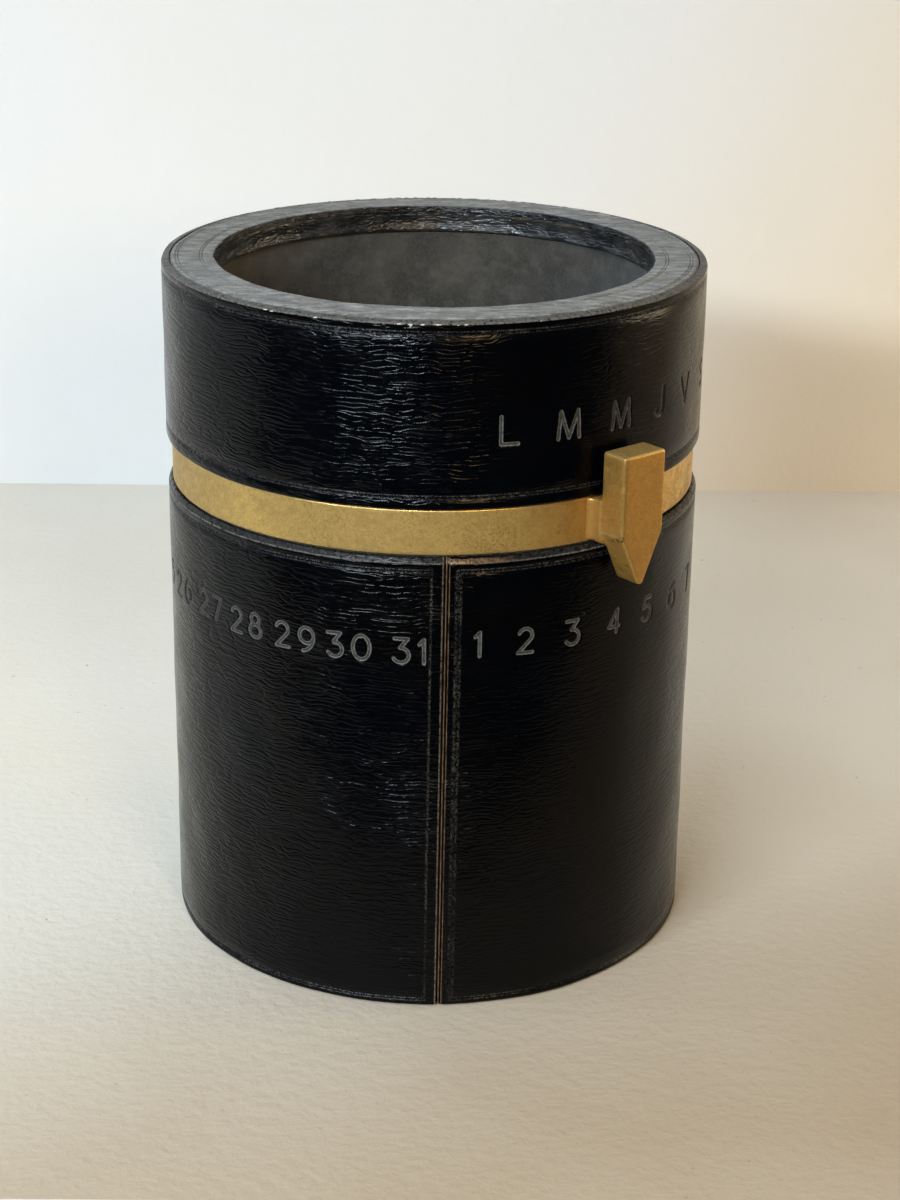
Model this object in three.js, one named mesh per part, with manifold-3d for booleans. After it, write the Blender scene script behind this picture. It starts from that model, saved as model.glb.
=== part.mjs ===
// Calendar pencil holder: a leather-covered cup with a turning weekday collar above a turning brass date pointer.
//
// Millimetres, +Z up. The origin is the centre of the foot, on the surface the holder stands on.
// Angles are in degrees, measured from -Y towards +X, so the front of the holder is at 0.
//
// The holder is built in layers round one board sleeve. The base is glued to the sleeve. The brass ring and
// the collar turn on it, one above the other, and a hoop round the top of the sleeve keeps the collar on.
import * as THREE from "three";
import { mergeVertices } from "three/addons/utils/BufferGeometryUtils.js";
import Module from "manifold-3d";

// Gaps between neighbours
const glueLine = 0.1;
const runningGap = 0.2;

// Well and sleeve
const wellDiameter = 70.8;
const liningThickness = 0.7;
const liningDrop = 0.2;
const floorPadThickness = 0.9;
const sleeveThickness = 1.7;

// Foot and base
const footThickness = 1.2;
const bottomBoardThickness = 3;
const baseWallHeight = 69.6;
const baseWallThickness = 3.1;
const coverThickness = 1.2;
const coverLift = 0.2;
const baseSeamAngle = 2.6;

// Brass ring and what it turns on
const journalThickness = 1;
const shoulderWasherThickness = 0.4;
const ringFeltThickness = 0.5;
const ringFeltInset = 0.5;
const ringThickness = 1.85;
const ringHeight = 7;
const ringEdgeRound = 0.3;

// Pointer
const pointerAngle = 39.75;
const pointerWidth = 8.3;
const pointerDepth = 4.8;
const pointerRise = 7.5;
const pointerDrop = 5.8;
const pointerTaper = 6.95;
const pointerBevel = 0.5;
const pointerStandoff = 1.15;
const stemInset = 0.3;

// Collar
const collarWallHeight = 23;
const collarWallThickness = 2.3;
const collarWasherThickness = 0.4;
const collarFeltThickness = 0.7;
const collarFeltInset = 0.8;
const collarFeltHeightShare = 0.22;
const collarSeamAngle = 230;
const topBoardThickness = 3.3;
const topWasherThickness = 0.6;
const hoopHeight = 2.2;
const hoopOverlapShare = 0.7;
const rimThickness = 1.1;
const rimProud = 0.4;
const lipThickness = 0.9;
const lipOverhang = 1.2;

// Leather edges, seams and blind-tooled lines
const coverRound = 0.4;
const seamGap = 0.3;
const seamBevel = 0.45;
const toolWidth = 0.5;
const toolDepth = 0.15;
const freeEdgeToolInset = 1.1;
const ringEdgeToolInset = 2;
const seamToolInset = 2.1;
const rimOuterToolInset = 0.9;
const rimInnerToolInset = 1.9;

// How finely round pieces are faceted
const shownSegments = 72;
const hiddenSegments = 60;
const roundSteps = 2;

// Vertices closer than this are one
const weldDistance = 0.0001;

// Cutting solids run this far past the faces they cut
const overrun = 1;

// Radii, from the well outwards
const wellRadius = wellDiameter / 2;
const liningInner = wellRadius + glueLine;
const liningOuter = wellRadius + liningThickness;
const sleeveInner = liningOuter + glueLine;
const sleeveOuter = sleeveInner + sleeveThickness;
const baseWallInner = sleeveOuter + glueLine;
const baseWallOuter = baseWallInner + baseWallThickness;
const baseCoverInner = baseWallOuter + glueLine;
const baseRadius = baseCoverInner + coverThickness;
const journalOuter = baseWallInner + journalThickness;
const ringFeltInner = journalOuter + runningGap;
const ringFeltOuter = ringFeltInner + ringFeltThickness;
const ringInner = ringFeltOuter + glueLine;
const ringRadius = ringInner + ringThickness;
const collarFeltInner = sleeveOuter + runningGap;
const collarFeltOuter = collarFeltInner + collarFeltThickness;
const collarWallInner = collarFeltOuter + glueLine;
const collarWallOuter = collarWallInner + collarWallThickness;
const collarCoverInner = collarWallOuter + glueLine;
const collarRadius = collarCoverInner + coverThickness;
const hoopOuter = collarFeltInner + hoopOverlapShare * collarFeltThickness;
const lipInner = wellRadius - lipOverhang;
const lipOuter = lipInner + lipThickness;
const topBoardInner = lipOuter + glueLine;
const pointerBack = Math.max(baseRadius, ringRadius, collarRadius) + pointerStandoff;

// Heights, from the table up
const bottomBoardBottom = footThickness + glueLine;
const bottomBoardTop = bottomBoardBottom + bottomBoardThickness;
const wallBottom = bottomBoardTop + glueLine;
const shoulder = wallBottom + baseWallHeight;
const shoulderWasherBottom = shoulder + glueLine;
const shoulderWasherTop = shoulderWasherBottom + shoulderWasherThickness;
const ringBottom = shoulderWasherTop + runningGap;
const ringTop = ringBottom + ringHeight;
const collarBottom = ringTop + runningGap;
const collarWasherTop = collarBottom + collarWasherThickness;
const collarWallBottom = collarWasherTop + glueLine;
const collarWallTop = collarWallBottom + collarWallHeight;
const topBoardBottom = collarWallTop + glueLine;
const topBoardTop = topBoardBottom + topBoardThickness;
const rimBottom = topBoardTop + glueLine;
const rimTop = rimBottom + rimThickness;
const collarCoverTop = rimTop - rimProud;
const topWasherTop = topBoardBottom - runningGap;
const topWasherBottom = topWasherTop - topWasherThickness;
const sleeveTop = topWasherBottom - glueLine;
const hoopBottom = sleeveTop - hoopHeight;
const liningTop = topWasherTop - liningDrop;
const collarFeltHeight = collarFeltHeightShare * collarWallHeight;

// Leather, suede, board, felt and brass
const blackLeather = new THREE.MeshStandardMaterial({ color: 0x14161a, roughness: 0.45 });
const wornLeather = new THREE.MeshStandardMaterial({ color: 0x6a6b6a, roughness: 0.75 });
const suede = new THREE.MeshStandardMaterial({ color: 0x3d3a36, roughness: 0.95 });
const board = new THREE.MeshStandardMaterial({ color: 0x7a5c40, roughness: 0.9 });
const felt = new THREE.MeshStandardMaterial({ color: 0x2a2825, roughness: 1 });
const brass = new THREE.MeshStandardMaterial({ color: 0xb08d3c, roughness: 0.35, metalness: 1 });

const wasm = await Module();
wasm.setup();

// A closed geometry as a solid that can be cut
function toSolid(geometry) {
  const bare = geometry.clone();
  bare.deleteAttribute("normal");
  bare.deleteAttribute("uv");
  const merged = mergeVertices(bare, weldDistance);
  const mesh = new wasm.Mesh({
    numProp: 3,
    vertProperties: merged.attributes.position.array,
    triVerts: new Uint32Array(merged.index.array),
  });
  return new wasm.Manifold(mesh);
}

// A cut solid as a flat-shaded geometry
function toGeometry(solid) {
  const { vertProperties, triVerts } = solid.getMesh();
  const indexed = new THREE.BufferGeometry();
  indexed.setAttribute("position", new THREE.BufferAttribute(vertProperties, 3));
  indexed.setIndex(new THREE.BufferAttribute(triVerts, 1));
  const geometry = indexed.toNonIndexed();
  geometry.computeVertexNormals();
  return geometry;
}

function cut(geometry, tools) {
  const solid = tools.reduce((rest, tool) => rest.subtract(toSolid(tool)), toSolid(geometry));
  return toGeometry(solid);
}

// A closed path through corners of [radius, height, round], each curved from one round before to one round after
function roundedPath(corners) {
  const points = corners.map(([r, z]) => new THREE.Vector2(r, z));
  const path = new THREE.Path();
  corners.forEach(([, , round = 0], i) => {
    const here = points[i];
    const before = points[(i + points.length - 1) % points.length];
    const after = points[(i + 1) % points.length];
    const enter = here.clone().add(before.clone().sub(here).setLength(round));
    const leave = here.clone().add(after.clone().sub(here).setLength(round));
    if (i === 0) path.moveTo(enter.x, enter.y);
    else path.lineTo(enter.x, enter.y);
    if (round > 0) path.quadraticCurveTo(here.x, here.y, leave.x, leave.y);
  });
  path.closePath();
  return path.getPoints(roundSteps);
}

// A profile of [radius, height] points turned about Z, with its first facet edge facing -Y
function turned(points, segments) {
  return new THREE.LatheGeometry(points, segments).rotateX(Math.PI / 2);
}

function ring(corners, segments = shownSegments) {
  return turned(roundedPath(corners), segments);
}

function tube(inner, outer, bottom, top, segments = hiddenSegments) {
  return ring([[inner, bottom], [outer, bottom], [outer, top], [inner, top]], segments);
}

function disc(radius, bottom, top) {
  const profile = [[0, bottom], [radius, bottom], [radius, top], [0, top]];
  return turned(profile.map(([r, z]) => new THREE.Vector2(r, z)), hiddenSegments);
}

// A box from one corner to the other
function block(low, high) {
  const size = new THREE.Vector3().subVectors(high, low);
  const centre = new THREE.Vector3().addVectors(low, high).multiplyScalar(0.5);
  return new THREE.BoxGeometry(size.x, size.y, size.z).translate(centre.x, centre.y, centre.z);
}

// An upright V-shaped cutter that bevels both edges of a seam facing -Y
function bevelCutter(outer, bottom, top) {
  const half = seamGap / 2 + seamBevel;
  const section = new THREE.Shape();
  section.moveTo(0, -outer + half);
  section.lineTo(-half - overrun, -outer - overrun);
  section.lineTo(half + overrun, -outer - overrun);
  section.closePath();
  const cutter = new THREE.ExtrudeGeometry(section, { depth: top - bottom + 2 * overrun, bevelEnabled: false });
  return cutter.translate(0, 0, bottom - overrun);
}

// Three corners of a shallow V pressed into an upright wall, from below up
function wallLine(radius, height) {
  return [
    [radius, height - toolWidth / 2],
    [radius - toolDepth, height],
    [radius, height + toolWidth / 2],
  ];
}

// Three corners of a shallow V pressed into a flat top, from the outside in
function topLine(radius, height) {
  return [
    [radius + toolWidth / 2, height],
    [radius, height - toolDepth],
    [radius - toolWidth / 2, height],
  ];
}

// A leather wrap, butted at one seam, with a tooled line along each edge and down each side of the seam
function wrap({ inner, outer, bottom, top, lowInset, highInset, seamAngle }) {
  const lowLine = bottom + lowInset;
  const highLine = top - highInset;
  const band = ring([
    [inner, bottom],
    [outer, bottom, coverRound],
    ...wallLine(outer, lowLine),
    ...wallLine(outer, highLine),
    [outer, top, coverRound],
    [inner, top],
  ]);
  const slot = block(
    new THREE.Vector3(-seamGap / 2, -outer - overrun, bottom - overrun),
    new THREE.Vector3(seamGap / 2, -inner + overrun, top + overrun),
  );
  const sideLines = [-1, 1].map((side) => {
    const line = block(
      new THREE.Vector3(-toolWidth / 2, -outer - overrun, lowLine),
      new THREE.Vector3(toolWidth / 2, -outer + toolDepth, highLine),
    );
    return line.rotateZ((side * seamToolInset) / outer);
  });
  const turn = THREE.MathUtils.degToRad(seamAngle);
  const tools = [slot, bevelCutter(outer, bottom, top), ...sideLines];
  return cut(band, tools.map((tool) => tool.rotateZ(turn)));
}

function baseCover() {
  return wrap({
    inner: baseCoverInner,
    outer: baseRadius,
    bottom: coverLift,
    top: shoulderWasherTop,
    lowInset: freeEdgeToolInset,
    highInset: ringEdgeToolInset,
    seamAngle: baseSeamAngle,
  });
}

// The lining stands on the bottom board round the floor pad and stops just under the lip
function wellLining() {
  return tube(liningInner, liningOuter, wallBottom, liningTop, shownSegments);
}

// The journal is a board band round the sleeve that the ring's felt runs on
function ringJournal() {
  return tube(baseWallInner, journalOuter, shoulderWasherBottom, ringTop);
}

function shoulderWasher() {
  return tube(journalOuter + glueLine, baseWallOuter, shoulderWasherBottom, shoulderWasherTop);
}

// The hoop stands out from the sleeve over the collar's upper felt, so the collar can't lift off
function retainingHoop() {
  return tube(sleeveOuter + glueLine, hoopOuter, hoopBottom, sleeveTop);
}

function brassRing() {
  return ring([
    [ringInner, ringBottom],
    [ringRadius, ringBottom, ringEdgeRound],
    [ringRadius, ringTop, ringEdgeRound],
    [ringInner, ringTop],
  ]);
}

function ringFelt() {
  return tube(ringFeltInner, ringFeltOuter, ringBottom + ringFeltInset, ringTop - ringFeltInset);
}

// The pointer's upright block, flat on top and tapered to a point below, with all its edges bevelled
function arrow() {
  const half = pointerWidth / 2 - pointerBevel;
  const top = ringTop + pointerRise - pointerBevel;
  const tip = ringBottom - pointerDrop + pointerBevel;
  const outline = new THREE.Shape();
  outline.moveTo(0, tip);
  outline.lineTo(half, tip + pointerTaper);
  outline.lineTo(half, top);
  outline.lineTo(-half, top);
  outline.lineTo(-half, tip + pointerTaper);
  outline.closePath();
  const upright = new THREE.ExtrudeGeometry(outline, {
    depth: pointerDepth - 2 * pointerBevel,
    bevelEnabled: true,
    bevelSize: pointerBevel,
    bevelThickness: pointerBevel,
    bevelSegments: 1,
  });
  return upright.rotateX(Math.PI / 2).translate(0, -pointerBack - pointerBevel, 0);
}

// The pointer is the arrow on a stem that is hollowed at its root to sit on the ring
function pointer() {
  const stem = block(
    new THREE.Vector3(-pointerWidth / 2, -pointerBack - pointerDepth / 2, ringBottom + stemInset),
    new THREE.Vector3(pointerWidth / 2, -ringInner, ringTop - stemInset),
  );
  const seatRadius = ringRadius + glueLine;
  const seat = tube(ringInner - overrun, seatRadius, ringBottom - overrun, ringTop + overrun, shownSegments);
  const seatedStem = toSolid(stem).subtract(toSolid(seat));
  return toGeometry(toSolid(arrow()).add(seatedStem));
}

function collarCover() {
  return wrap({
    inner: collarCoverInner,
    outer: collarRadius,
    bottom: collarBottom,
    top: collarCoverTop,
    lowInset: ringEdgeToolInset,
    highInset: freeEdgeToolInset,
    seamAngle: collarSeamAngle,
  });
}

function collarWasher() {
  return tube(journalOuter + runningGap, collarWallOuter, collarBottom, collarWasherTop);
}

function collarFelt(bottom) {
  return tube(collarFeltInner, collarFeltOuter, bottom, bottom + collarFeltHeight);
}

// The flat leather rim lies inside the cover's raw top edge, with a tooled line near each of its own edges
function rimCover() {
  return ring([
    [lipInner, rimBottom],
    [collarWallOuter, rimBottom],
    [collarWallOuter, rimTop, coverRound],
    ...topLine(collarWallOuter - rimOuterToolInset, rimTop),
    ...topLine(lipInner + rimInnerToolInset, rimTop),
    [lipInner, rimTop, coverRound],
  ]);
}

// The strip of leather over the inner edge of the top board
function lipCover() {
  return ring([
    [lipInner, topBoardBottom, coverRound],
    [lipOuter, topBoardBottom],
    [lipOuter, topBoardTop],
    [lipInner, topBoardTop],
  ]);
}

function add(parent, name, geometry, material) {
  const mesh = new THREE.Mesh(geometry, material);
  mesh.name = name;
  parent.add(mesh);
}

const root = new THREE.Group();
root.name = "calendar_pencil_holder";

// Base: everything that is glued to the sleeve and stands still
const base = new THREE.Group();
root.add(base);
add(base, "foot_disc", disc(baseWallOuter, 0, footThickness), blackLeather);
add(base, "bottom_board", disc(baseWallOuter, bottomBoardBottom, bottomBoardTop), board);
add(base, "inner_sleeve", tube(sleeveInner, sleeveOuter, wallBottom, sleeveTop), board);
add(base, "base_wall", tube(baseWallInner, baseWallOuter, wallBottom, shoulder), board);
add(base, "base_cover", baseCover(), blackLeather);
add(base, "well_floor_pad", disc(wellRadius, wallBottom, wallBottom + floorPadThickness), suede);
add(base, "well_lining", wellLining(), suede);
add(base, "ring_journal", ringJournal(), board);
add(base, "shoulder_washer", shoulderWasher(), felt);
add(base, "retaining_hoop", retainingHoop(), board);
add(base, "top_washer", tube(sleeveInner, sleeveOuter, topWasherBottom, topWasherTop), felt);

// Pointer ring: the brass band, the felt in its bore and the pointer soldered to its face
const pointerRing = new THREE.Group();
pointerRing.rotation.z = THREE.MathUtils.degToRad(pointerAngle);
root.add(pointerRing);
add(pointerRing, "pointer_ring", brassRing(), brass);
add(pointerRing, "ring_felt", ringFelt(), felt);
add(pointerRing, "pointer", pointer(), brass);

// Collar: a board wall and top board, covered in leather, on felt bands that run on the sleeve
const collar = new THREE.Group();
root.add(collar);
add(collar, "collar_wall", tube(collarWallInner, collarWallOuter, collarWallBottom, collarWallTop), board);
add(collar, "collar_top_board", tube(topBoardInner, collarWallOuter, topBoardBottom, topBoardTop), board);
add(collar, "collar_cover", collarCover(), blackLeather);
add(collar, "rim_cover", rimCover(), wornLeather);
add(collar, "lip_cover", lipCover(), blackLeather);
add(collar, "collar_washer", collarWasher(), felt);
add(collar, "collar_felt_lower", collarFelt(collarWallBottom + collarFeltInset), felt);
add(collar, "collar_felt_upper", collarFelt(hoopBottom - runningGap - collarFeltHeight), felt);

export default root;
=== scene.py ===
# Calendar pencil holder: the leather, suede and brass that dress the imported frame.
#
# Metres, +Z up, in the frame's own axes. Sizes are written in millimetres times MM.
# Angles run from -Y, which faces the photograph's camera, towards +X, and are written in degrees.
import math

import bmesh
import bpy
import numpy as np
from mathutils import Matrix, Vector

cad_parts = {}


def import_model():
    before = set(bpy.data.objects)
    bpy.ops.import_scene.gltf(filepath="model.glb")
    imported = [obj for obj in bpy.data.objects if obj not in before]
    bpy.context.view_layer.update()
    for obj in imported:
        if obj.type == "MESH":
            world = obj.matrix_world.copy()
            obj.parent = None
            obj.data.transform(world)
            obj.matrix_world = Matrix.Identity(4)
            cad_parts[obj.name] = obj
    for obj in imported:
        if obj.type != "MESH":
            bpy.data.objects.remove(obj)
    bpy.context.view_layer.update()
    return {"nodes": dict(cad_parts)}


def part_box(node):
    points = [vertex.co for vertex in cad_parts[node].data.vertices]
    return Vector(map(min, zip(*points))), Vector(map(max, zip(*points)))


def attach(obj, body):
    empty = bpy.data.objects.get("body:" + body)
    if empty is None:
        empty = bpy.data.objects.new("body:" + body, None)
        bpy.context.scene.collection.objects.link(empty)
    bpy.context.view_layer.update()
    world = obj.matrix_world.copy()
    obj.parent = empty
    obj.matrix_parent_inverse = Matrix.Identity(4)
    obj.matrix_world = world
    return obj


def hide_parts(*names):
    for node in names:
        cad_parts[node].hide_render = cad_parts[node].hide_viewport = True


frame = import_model()

MM = 0.001
FULL_TURN = 2 * math.pi

# Camera: where the photograph was taken from, with its turns in radians
PHOTO_HEIGHT_PX = 1200
FOCAL_PX = 2428.5
SENSOR_MM = 36
CAMERA_BACK = 373.1 * MM
CAMERA_HEIGHT = 196.5 * MM
CAMERA_PITCH = 0.3702
CAMERA_YAW = 0.0083
CAMERA_ROLL = 0.0132

# Shelf and wall, whose paint turns from one colour to another along a way, between two distances. The turn is
# painted light: painted shade and a warm tint towards the shelf's front right, and a painted warm tint
# towards the wall's right and foot
WALL_BEHIND = 212 * MM
SHELF_FRONT = 94 * MM
STAGE_REACH = 1500 * MM
SHELF_PAINT_AND_SHADE = {
    "paint_and_light_colours": ((0.88, 0.83, 0.72), (0.46, 0.355, 0.235)),
    "way": (0.4, -1.0, 0.0),
    "turn": (-50 * MM, 100 * MM),
    "depth": 0.26 * MM,
    "specks": (0.2, 0.16, 0.12),
}
WALL_PAINT_AND_GLOW = {
    "paint_and_light_colours": ((0.92, 0.92, 0.91), (0.93, 0.82, 0.65)),
    "way": (1.0, 0.0, -0.5),
    "turn": (-30 * MM, 120 * MM),
    "depth": 0.12 * MM,
}

# Light from the room: the way to its pale side, and how bright that side, the dim side and the backdrop are
ROOM_PALE_SIDE = (0.0, 0.75, 0.6)
ROOM_TURN = (-0.15, 0.6)
ROOM_PALE = 0.4
ROOM_DIM = 0.015
ROOM_COLOUR = (0.97, 0.985, 1.0)
BACKGROUND_SHOWN = 0.88

# Lamps: colour, watts, width and height, azimuth, elevation, distance and aim, with lengths in metres
LAMPS = {
    "window": ((0.81, 0.92, 1.0), 2.9, (0.3, 0.032), -25, 25, 0.55, (0, 0, 0.06)),
    "warm_side": ((1.0, 0.82, 0.54), 2.7, (0.3, 0.3), 92, 12, 0.9, (0.05, 0.1, 0.04)),
    "warm_front": ((1.0, 0.7, 0.36), 2.3, (0.2, 0.2), 17, 21, 1.0, (0, 0.05, 0.03)),
    "cool_front": ((0.58, 0.75, 1.0), 4.8, (1.2, 0.6), -66, 38, 1.1, (0, 0, 0.06)),
}

# Leather covers
COVER_BACK_GAP = 0.1 * MM
LEAST_LEATHER = 0.25 * MM
EDGE_ROUND = 0.4 * MM
TOP_ROUND = 0.16 * MM
SEAM_GAP = 0.13 * MM
SEAM_FADE = 40 * MM
# The angle of each seam at its top and at its foot
BASE_SEAM = (2.75, 2.0)
COLLAR_SEAM = (230, 230)
COLLAR_EDGE_RISE = 0.26 * MM

# Bevels at the covers' top edges: how far in and how far down, with a narrow facet below, rubbed on the
# collar and painted pale on the base as a highlight
BASE_BEVEL = (0.42 * MM, 0.72 * MM)
COLLAR_BEVEL = (1.0 * MM, 0.24 * MM)
FACET_TALL = 0.26 * MM
FACET_IN = 0.11 * MM
EDGE_FADE = 0.1 * MM
TOP_FADE_START = -0.2 * TOP_ROUND
TOP_FADE = 0.6 * TOP_ROUND
BARE_TOP_SPAN = 24

# How rubbed the top edges and their facets are, and how rough the cut leather is. On the base, the facet's
# pale grey is a painted highlight
BASE_RUB_AND_HIGHLIGHT_SHARES = (0.16, 0.9)
COLLAR_RUBBED_SHARES = (0.75, 1.5)
CUT_ROUGHNESS = 0.035 * MM
CUT_COARSE = 1.1 * MM
CUT_FINE = 0.45 * MM

# Chips in the collar's top edge: angle, width and drop below the edge in millimetres
COLLAR_CHIPS = (
    (-57, 0.12, 0.2), (-54, 0.16, 0.26), (-34.5, 0.16, 0.2), (-33, 0.12, 0.26), (-23.5, 0.18, 0.24),
    (-6.5, 0.3, 0.2), (-4.4, 0.12, 0.26), (-2, 0.26, 0.22), (0.7, 0.42, 0.2), (4.4, 0.16, 0.26),
    (6, 0.3, 0.2), (21, 0.1, 0.2), (118, 0.2, 0.24), (164, 0.16, 0.2), (-131, 0.2, 0.24),
)
CHIP_TALL = 0.08 * MM
CHIP_DEPTH = 0.08 * MM

# The leather is handled smooth round one angle, most where it is this far from the axis
SMOOTH_ANGLE = 38
SMOOTH_AT = 42 * MM
SMOOTH_SPAN_SHARES = (0.76, 0.96)
SMOOTH_SHARE = 0.4

# Blind-tooled lines: two grooves side by side, and a rubbed strip along the seam's right one
TOOL_SPREAD = 0.2 * MM
WIDE_TOOL_SPREAD = 0.32 * MM
TOOL_WIDTH = 0.36 * MM
LEFT_TOOL_WIDTH = 1.6 * TOOL_WIDTH
TOOL_DEPTH = 0.14 * MM
STRIP_WIDTH = 3.2 * TOOL_WIDTH
STRIP_SHARE = 0.4
SEAM_TOOL_INSET = 1.95 * MM
FREE_EDGE_TOOL_INSET = 1.1 * MM
RING_EDGE_TOOL_INSET = 2.0 * MM
COLLAR_TOOL_DROP = 0.3 * MM
LINE_END_REACH = 0.3 * MM
LINE_END_FADE = 0.2 * MM

# Stamped figures and letters
FIGURE_HEIGHT = 3.8 * MM
LETTER_HEIGHT = 4.1 * MM
FIGURE_GAP = 1.7 * MM
FIGURE_TILT = 0.018
FIGURE_DRIFT = 0.09 * MM
STROKE_WIDTH = 0.55 * MM
STROKE_WALL = 0.16 * MM
STROKE_DEPTH = 0.14 * MM
STROKE_MARGIN = 1.2 * MM
FAR_FROM_STROKES = 9 * MM
FOIL_LOSS = 2.5
FIRST_DATE_BASELINE = 58.95 * MM
LAST_DATE_BASELINE = 58.0 * MM
DAY_BASELINE = 91.65 * MM
DAY_LETTERS = "LMMJVSD"
DAY_ANGLES = (15.0, 27.7, 40.6, 52.6, 64.0, 77.7, 90.2)
DAY_FOIL_SHARES = (1.0, 0.85, 0.5, 0.12, 0.08, 0.08, 0.1)
SEEN_DATE_ANGLES = {
    25: -78.8, 26: -66.5, 27: -53.9, 28: -41.6, 29: -29.0, 30: -17.0, 31: -4.5,
    1: 9.4, 2: 19.3, 3: 30.0, 4: 40.9, 5: 51.6, 6: 62.1, 7: 73.6,
}
FIRST_HIDDEN_DATE = 8
LAST_HIDDEN_DATE = 24

# The covers' mesh: its pitch round and up the wall, and windows of finer mesh as a reach or margin and a step
COVER_PITCH = 0.28 * MM
WALL_PITCH = 1.9 * MM
LETTERED_PITCH_SHARE = 0.8
PLAIN_PITCH_SHARE = 2
LETTERED_MARGIN = 6
SEAM_RIGHT_MESH = (1 * MM, 0.07 * MM)
SEAM_LEFT_MESH = (0.6 * MM, 0.06 * MM)
LINE_MESH = (0.4 * MM, 0.09 * MM)
SEAM_LINE_MESH = (0.4 * MM, 0.08 * MM)
TEXT_MESH = (0.7 * MM, 0.2 * MM)
MERGE_DISTANCE = 0.001 * MM
HAIR = 0.01 * MM

# Rim
RIM_PITCH = 0.35 * MM
RIM_FLAT_FROM = 0.5 * MM
RIM_FLAT_TO = 0.3 * MM
RIM_BEVEL = 0.5 * MM
RIM_BEVEL_DROP = 0.3 * MM
RIM_BEVEL_ROUND = 0.1 * MM
RIM_INNER_ROUND = 0.3 * MM
RIM_OUTER_TOOL_INSET = 1.15 * MM
RIM_INNER_TOOL_INSET = 2.1 * MM
RIM_RAGGED_REACH = 0.45 * MM
RIM_RAGGED_LEAST = 0.1 * MM
RIM_DARK_INSIDE = 0.16 * MM
RIM_DARK_OUTSIDE = 0.1 * MM

# Lip, lining, floor and foot
LIP_ROUND = 0.55 * MM
LIP_HOLLOW = 0.28 * MM
LIP_STRETCH = (0.3, 0.3, 1.0)
LINING_TOP = 0.2 * MM
LINING_STRETCH = (1, 1, 0.5)
FLOOR_ROUND = 0.4 * MM
FOOT_ROUND = 0.35 * MM
FOOT_EDGE = 2 * MM
FACE_REACH = 0.1 * MM

# Unevenness: the depth of its waves and their length
COVER_WAVES = (0.05 * MM, 15 * MM)
RIM_SAG = (0.03 * MM, 9 * MM)
RIM_PITS = (0.012 * MM, 0.8 * MM)
RIM_WANDER = (0.05 * MM, 5 * MM)
RIM_TEARS = (0.03 * MM, 0.9 * MM)
LIP_FOLDS = (0.035 * MM, 1.7 * MM)
LIP_CREASES = (0.03 * MM, 0.8 * MM)
LIP_CRINKLED = (0.6, 22 * MM)
LIP_WORN = (0.5, 30 * MM)
LINING_WAVES = (0.05 * MM, 7 * MM)
FLOOR_WAVES = (0.06 * MM, 8 * MM)
FOOT_WAVES = (0.05 * MM, 5 * MM)
BAND_DENTS = (0.012 * MM, 6 * MM)

# Brass
BAND_COLUMNS = 720
BAND_EDGE_ROUND = 0.3 * MM
# How far the band's edges are polished and lightened as a painted highlight
BAND_EDGE_WEAR_AND_HIGHLIGHT = 0.5 * MM
# How far up the band's foot it turns darker
BAND_DARK_FOOT_TALL = 0.6 * MM
# How far round the band the pointer's painted reflection reaches
REFLECTION_TINT_SPAN = 22
DULL_ANGLE = 296
DULL_SPAN = 30
SPOTTED_ANGLE = 13.5
SPOTTED_DROP = 1 * MM
SPOTTED_REACH = (1.2 * MM, 4.5 * MM)
POINTER_ANGLE = 39.75
POINTER_WIDTH = 8.3 * MM
POINTER_DEPTH = 4.8 * MM
POINTER_TAPER = 7.9 * MM
BLUNT_TIP = 0.45 * MM
TIP_WORN = 0.15 * MM
POINTER_VOXEL = 0.14 * MM
POINTER_SOFTENING = 70
# How far the pointer's edges are polished and lightened as a painted highlight
POINTER_EDGE_WEAR_AND_HIGHLIGHT = 0.4 * MM
# How wide the painted shade and grime run under the stem and along the block's taper line
POINTER_GRIME_AND_SHADE_WIDE = 0.55 * MM
# How far below the pointer's top its painted reflection of the pale wall starts, and how far it fades in
POINTER_TOP_REFLECTION_DROP = 0.3 * MM
POINTER_TOP_REFLECTION_FADE = 0.25 * MM
POINTER_SEAT = 0.05 * MM
STEM_FLARE = 1.5 * MM
STEM_INSET = 0.08 * MM
STEM_ROOT = 0.16 * MM
STEM_IN_BAND = 0.8 * MM
STEM_IN_BLOCK = 0.5 * MM


def place(radius, angle, height):
    """Points at a distance from the axis, an angle in radians and a height."""
    radius, angle, height = np.broadcast_arrays(radius, angle, height)
    return np.stack([radius * np.sin(angle), -radius * np.cos(angle), height], axis=-1)


def turn_from(angle, centre):
    """Angles in radians from a centre, within half a turn either way."""
    return np.mod(angle - centre + math.pi, FULL_TURN) - math.pi


def node_size(node):
    """A CAD node's least and greatest distance from the axis, and its lowest and highest level."""
    radii = [math.hypot(v.co.x, v.co.y) for v in frame["nodes"][node].data.vertices]
    low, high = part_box(node)
    return min(radii), max(radii), low.z, high.z


def waves(points, length, seed, count=28):
    """Smooth noise with a spread of about 1, from plane waves of about one length."""
    chance = np.random.default_rng(seed)
    direction = chance.normal(size=(count, 3))
    direction /= np.linalg.norm(direction, axis=1, keepdims=True)
    pitch = FULL_TURN / (length * chance.uniform(0.6, 1.5, count))
    phase = chance.uniform(0, FULL_TURN, count)
    total = np.zeros(points.shape[:-1])
    for d, p, s in zip(direction, pitch, phase):
        total += np.sin(points @ (d * p) + s)
    return total * math.sqrt(2 / count)


def relief(points, size, seed, level=1.5):
    """Waves of a (depth, length), raised by a level so that few are below 0."""
    depth, length = size
    return depth * (waves(points, length, seed) + level)


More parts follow.
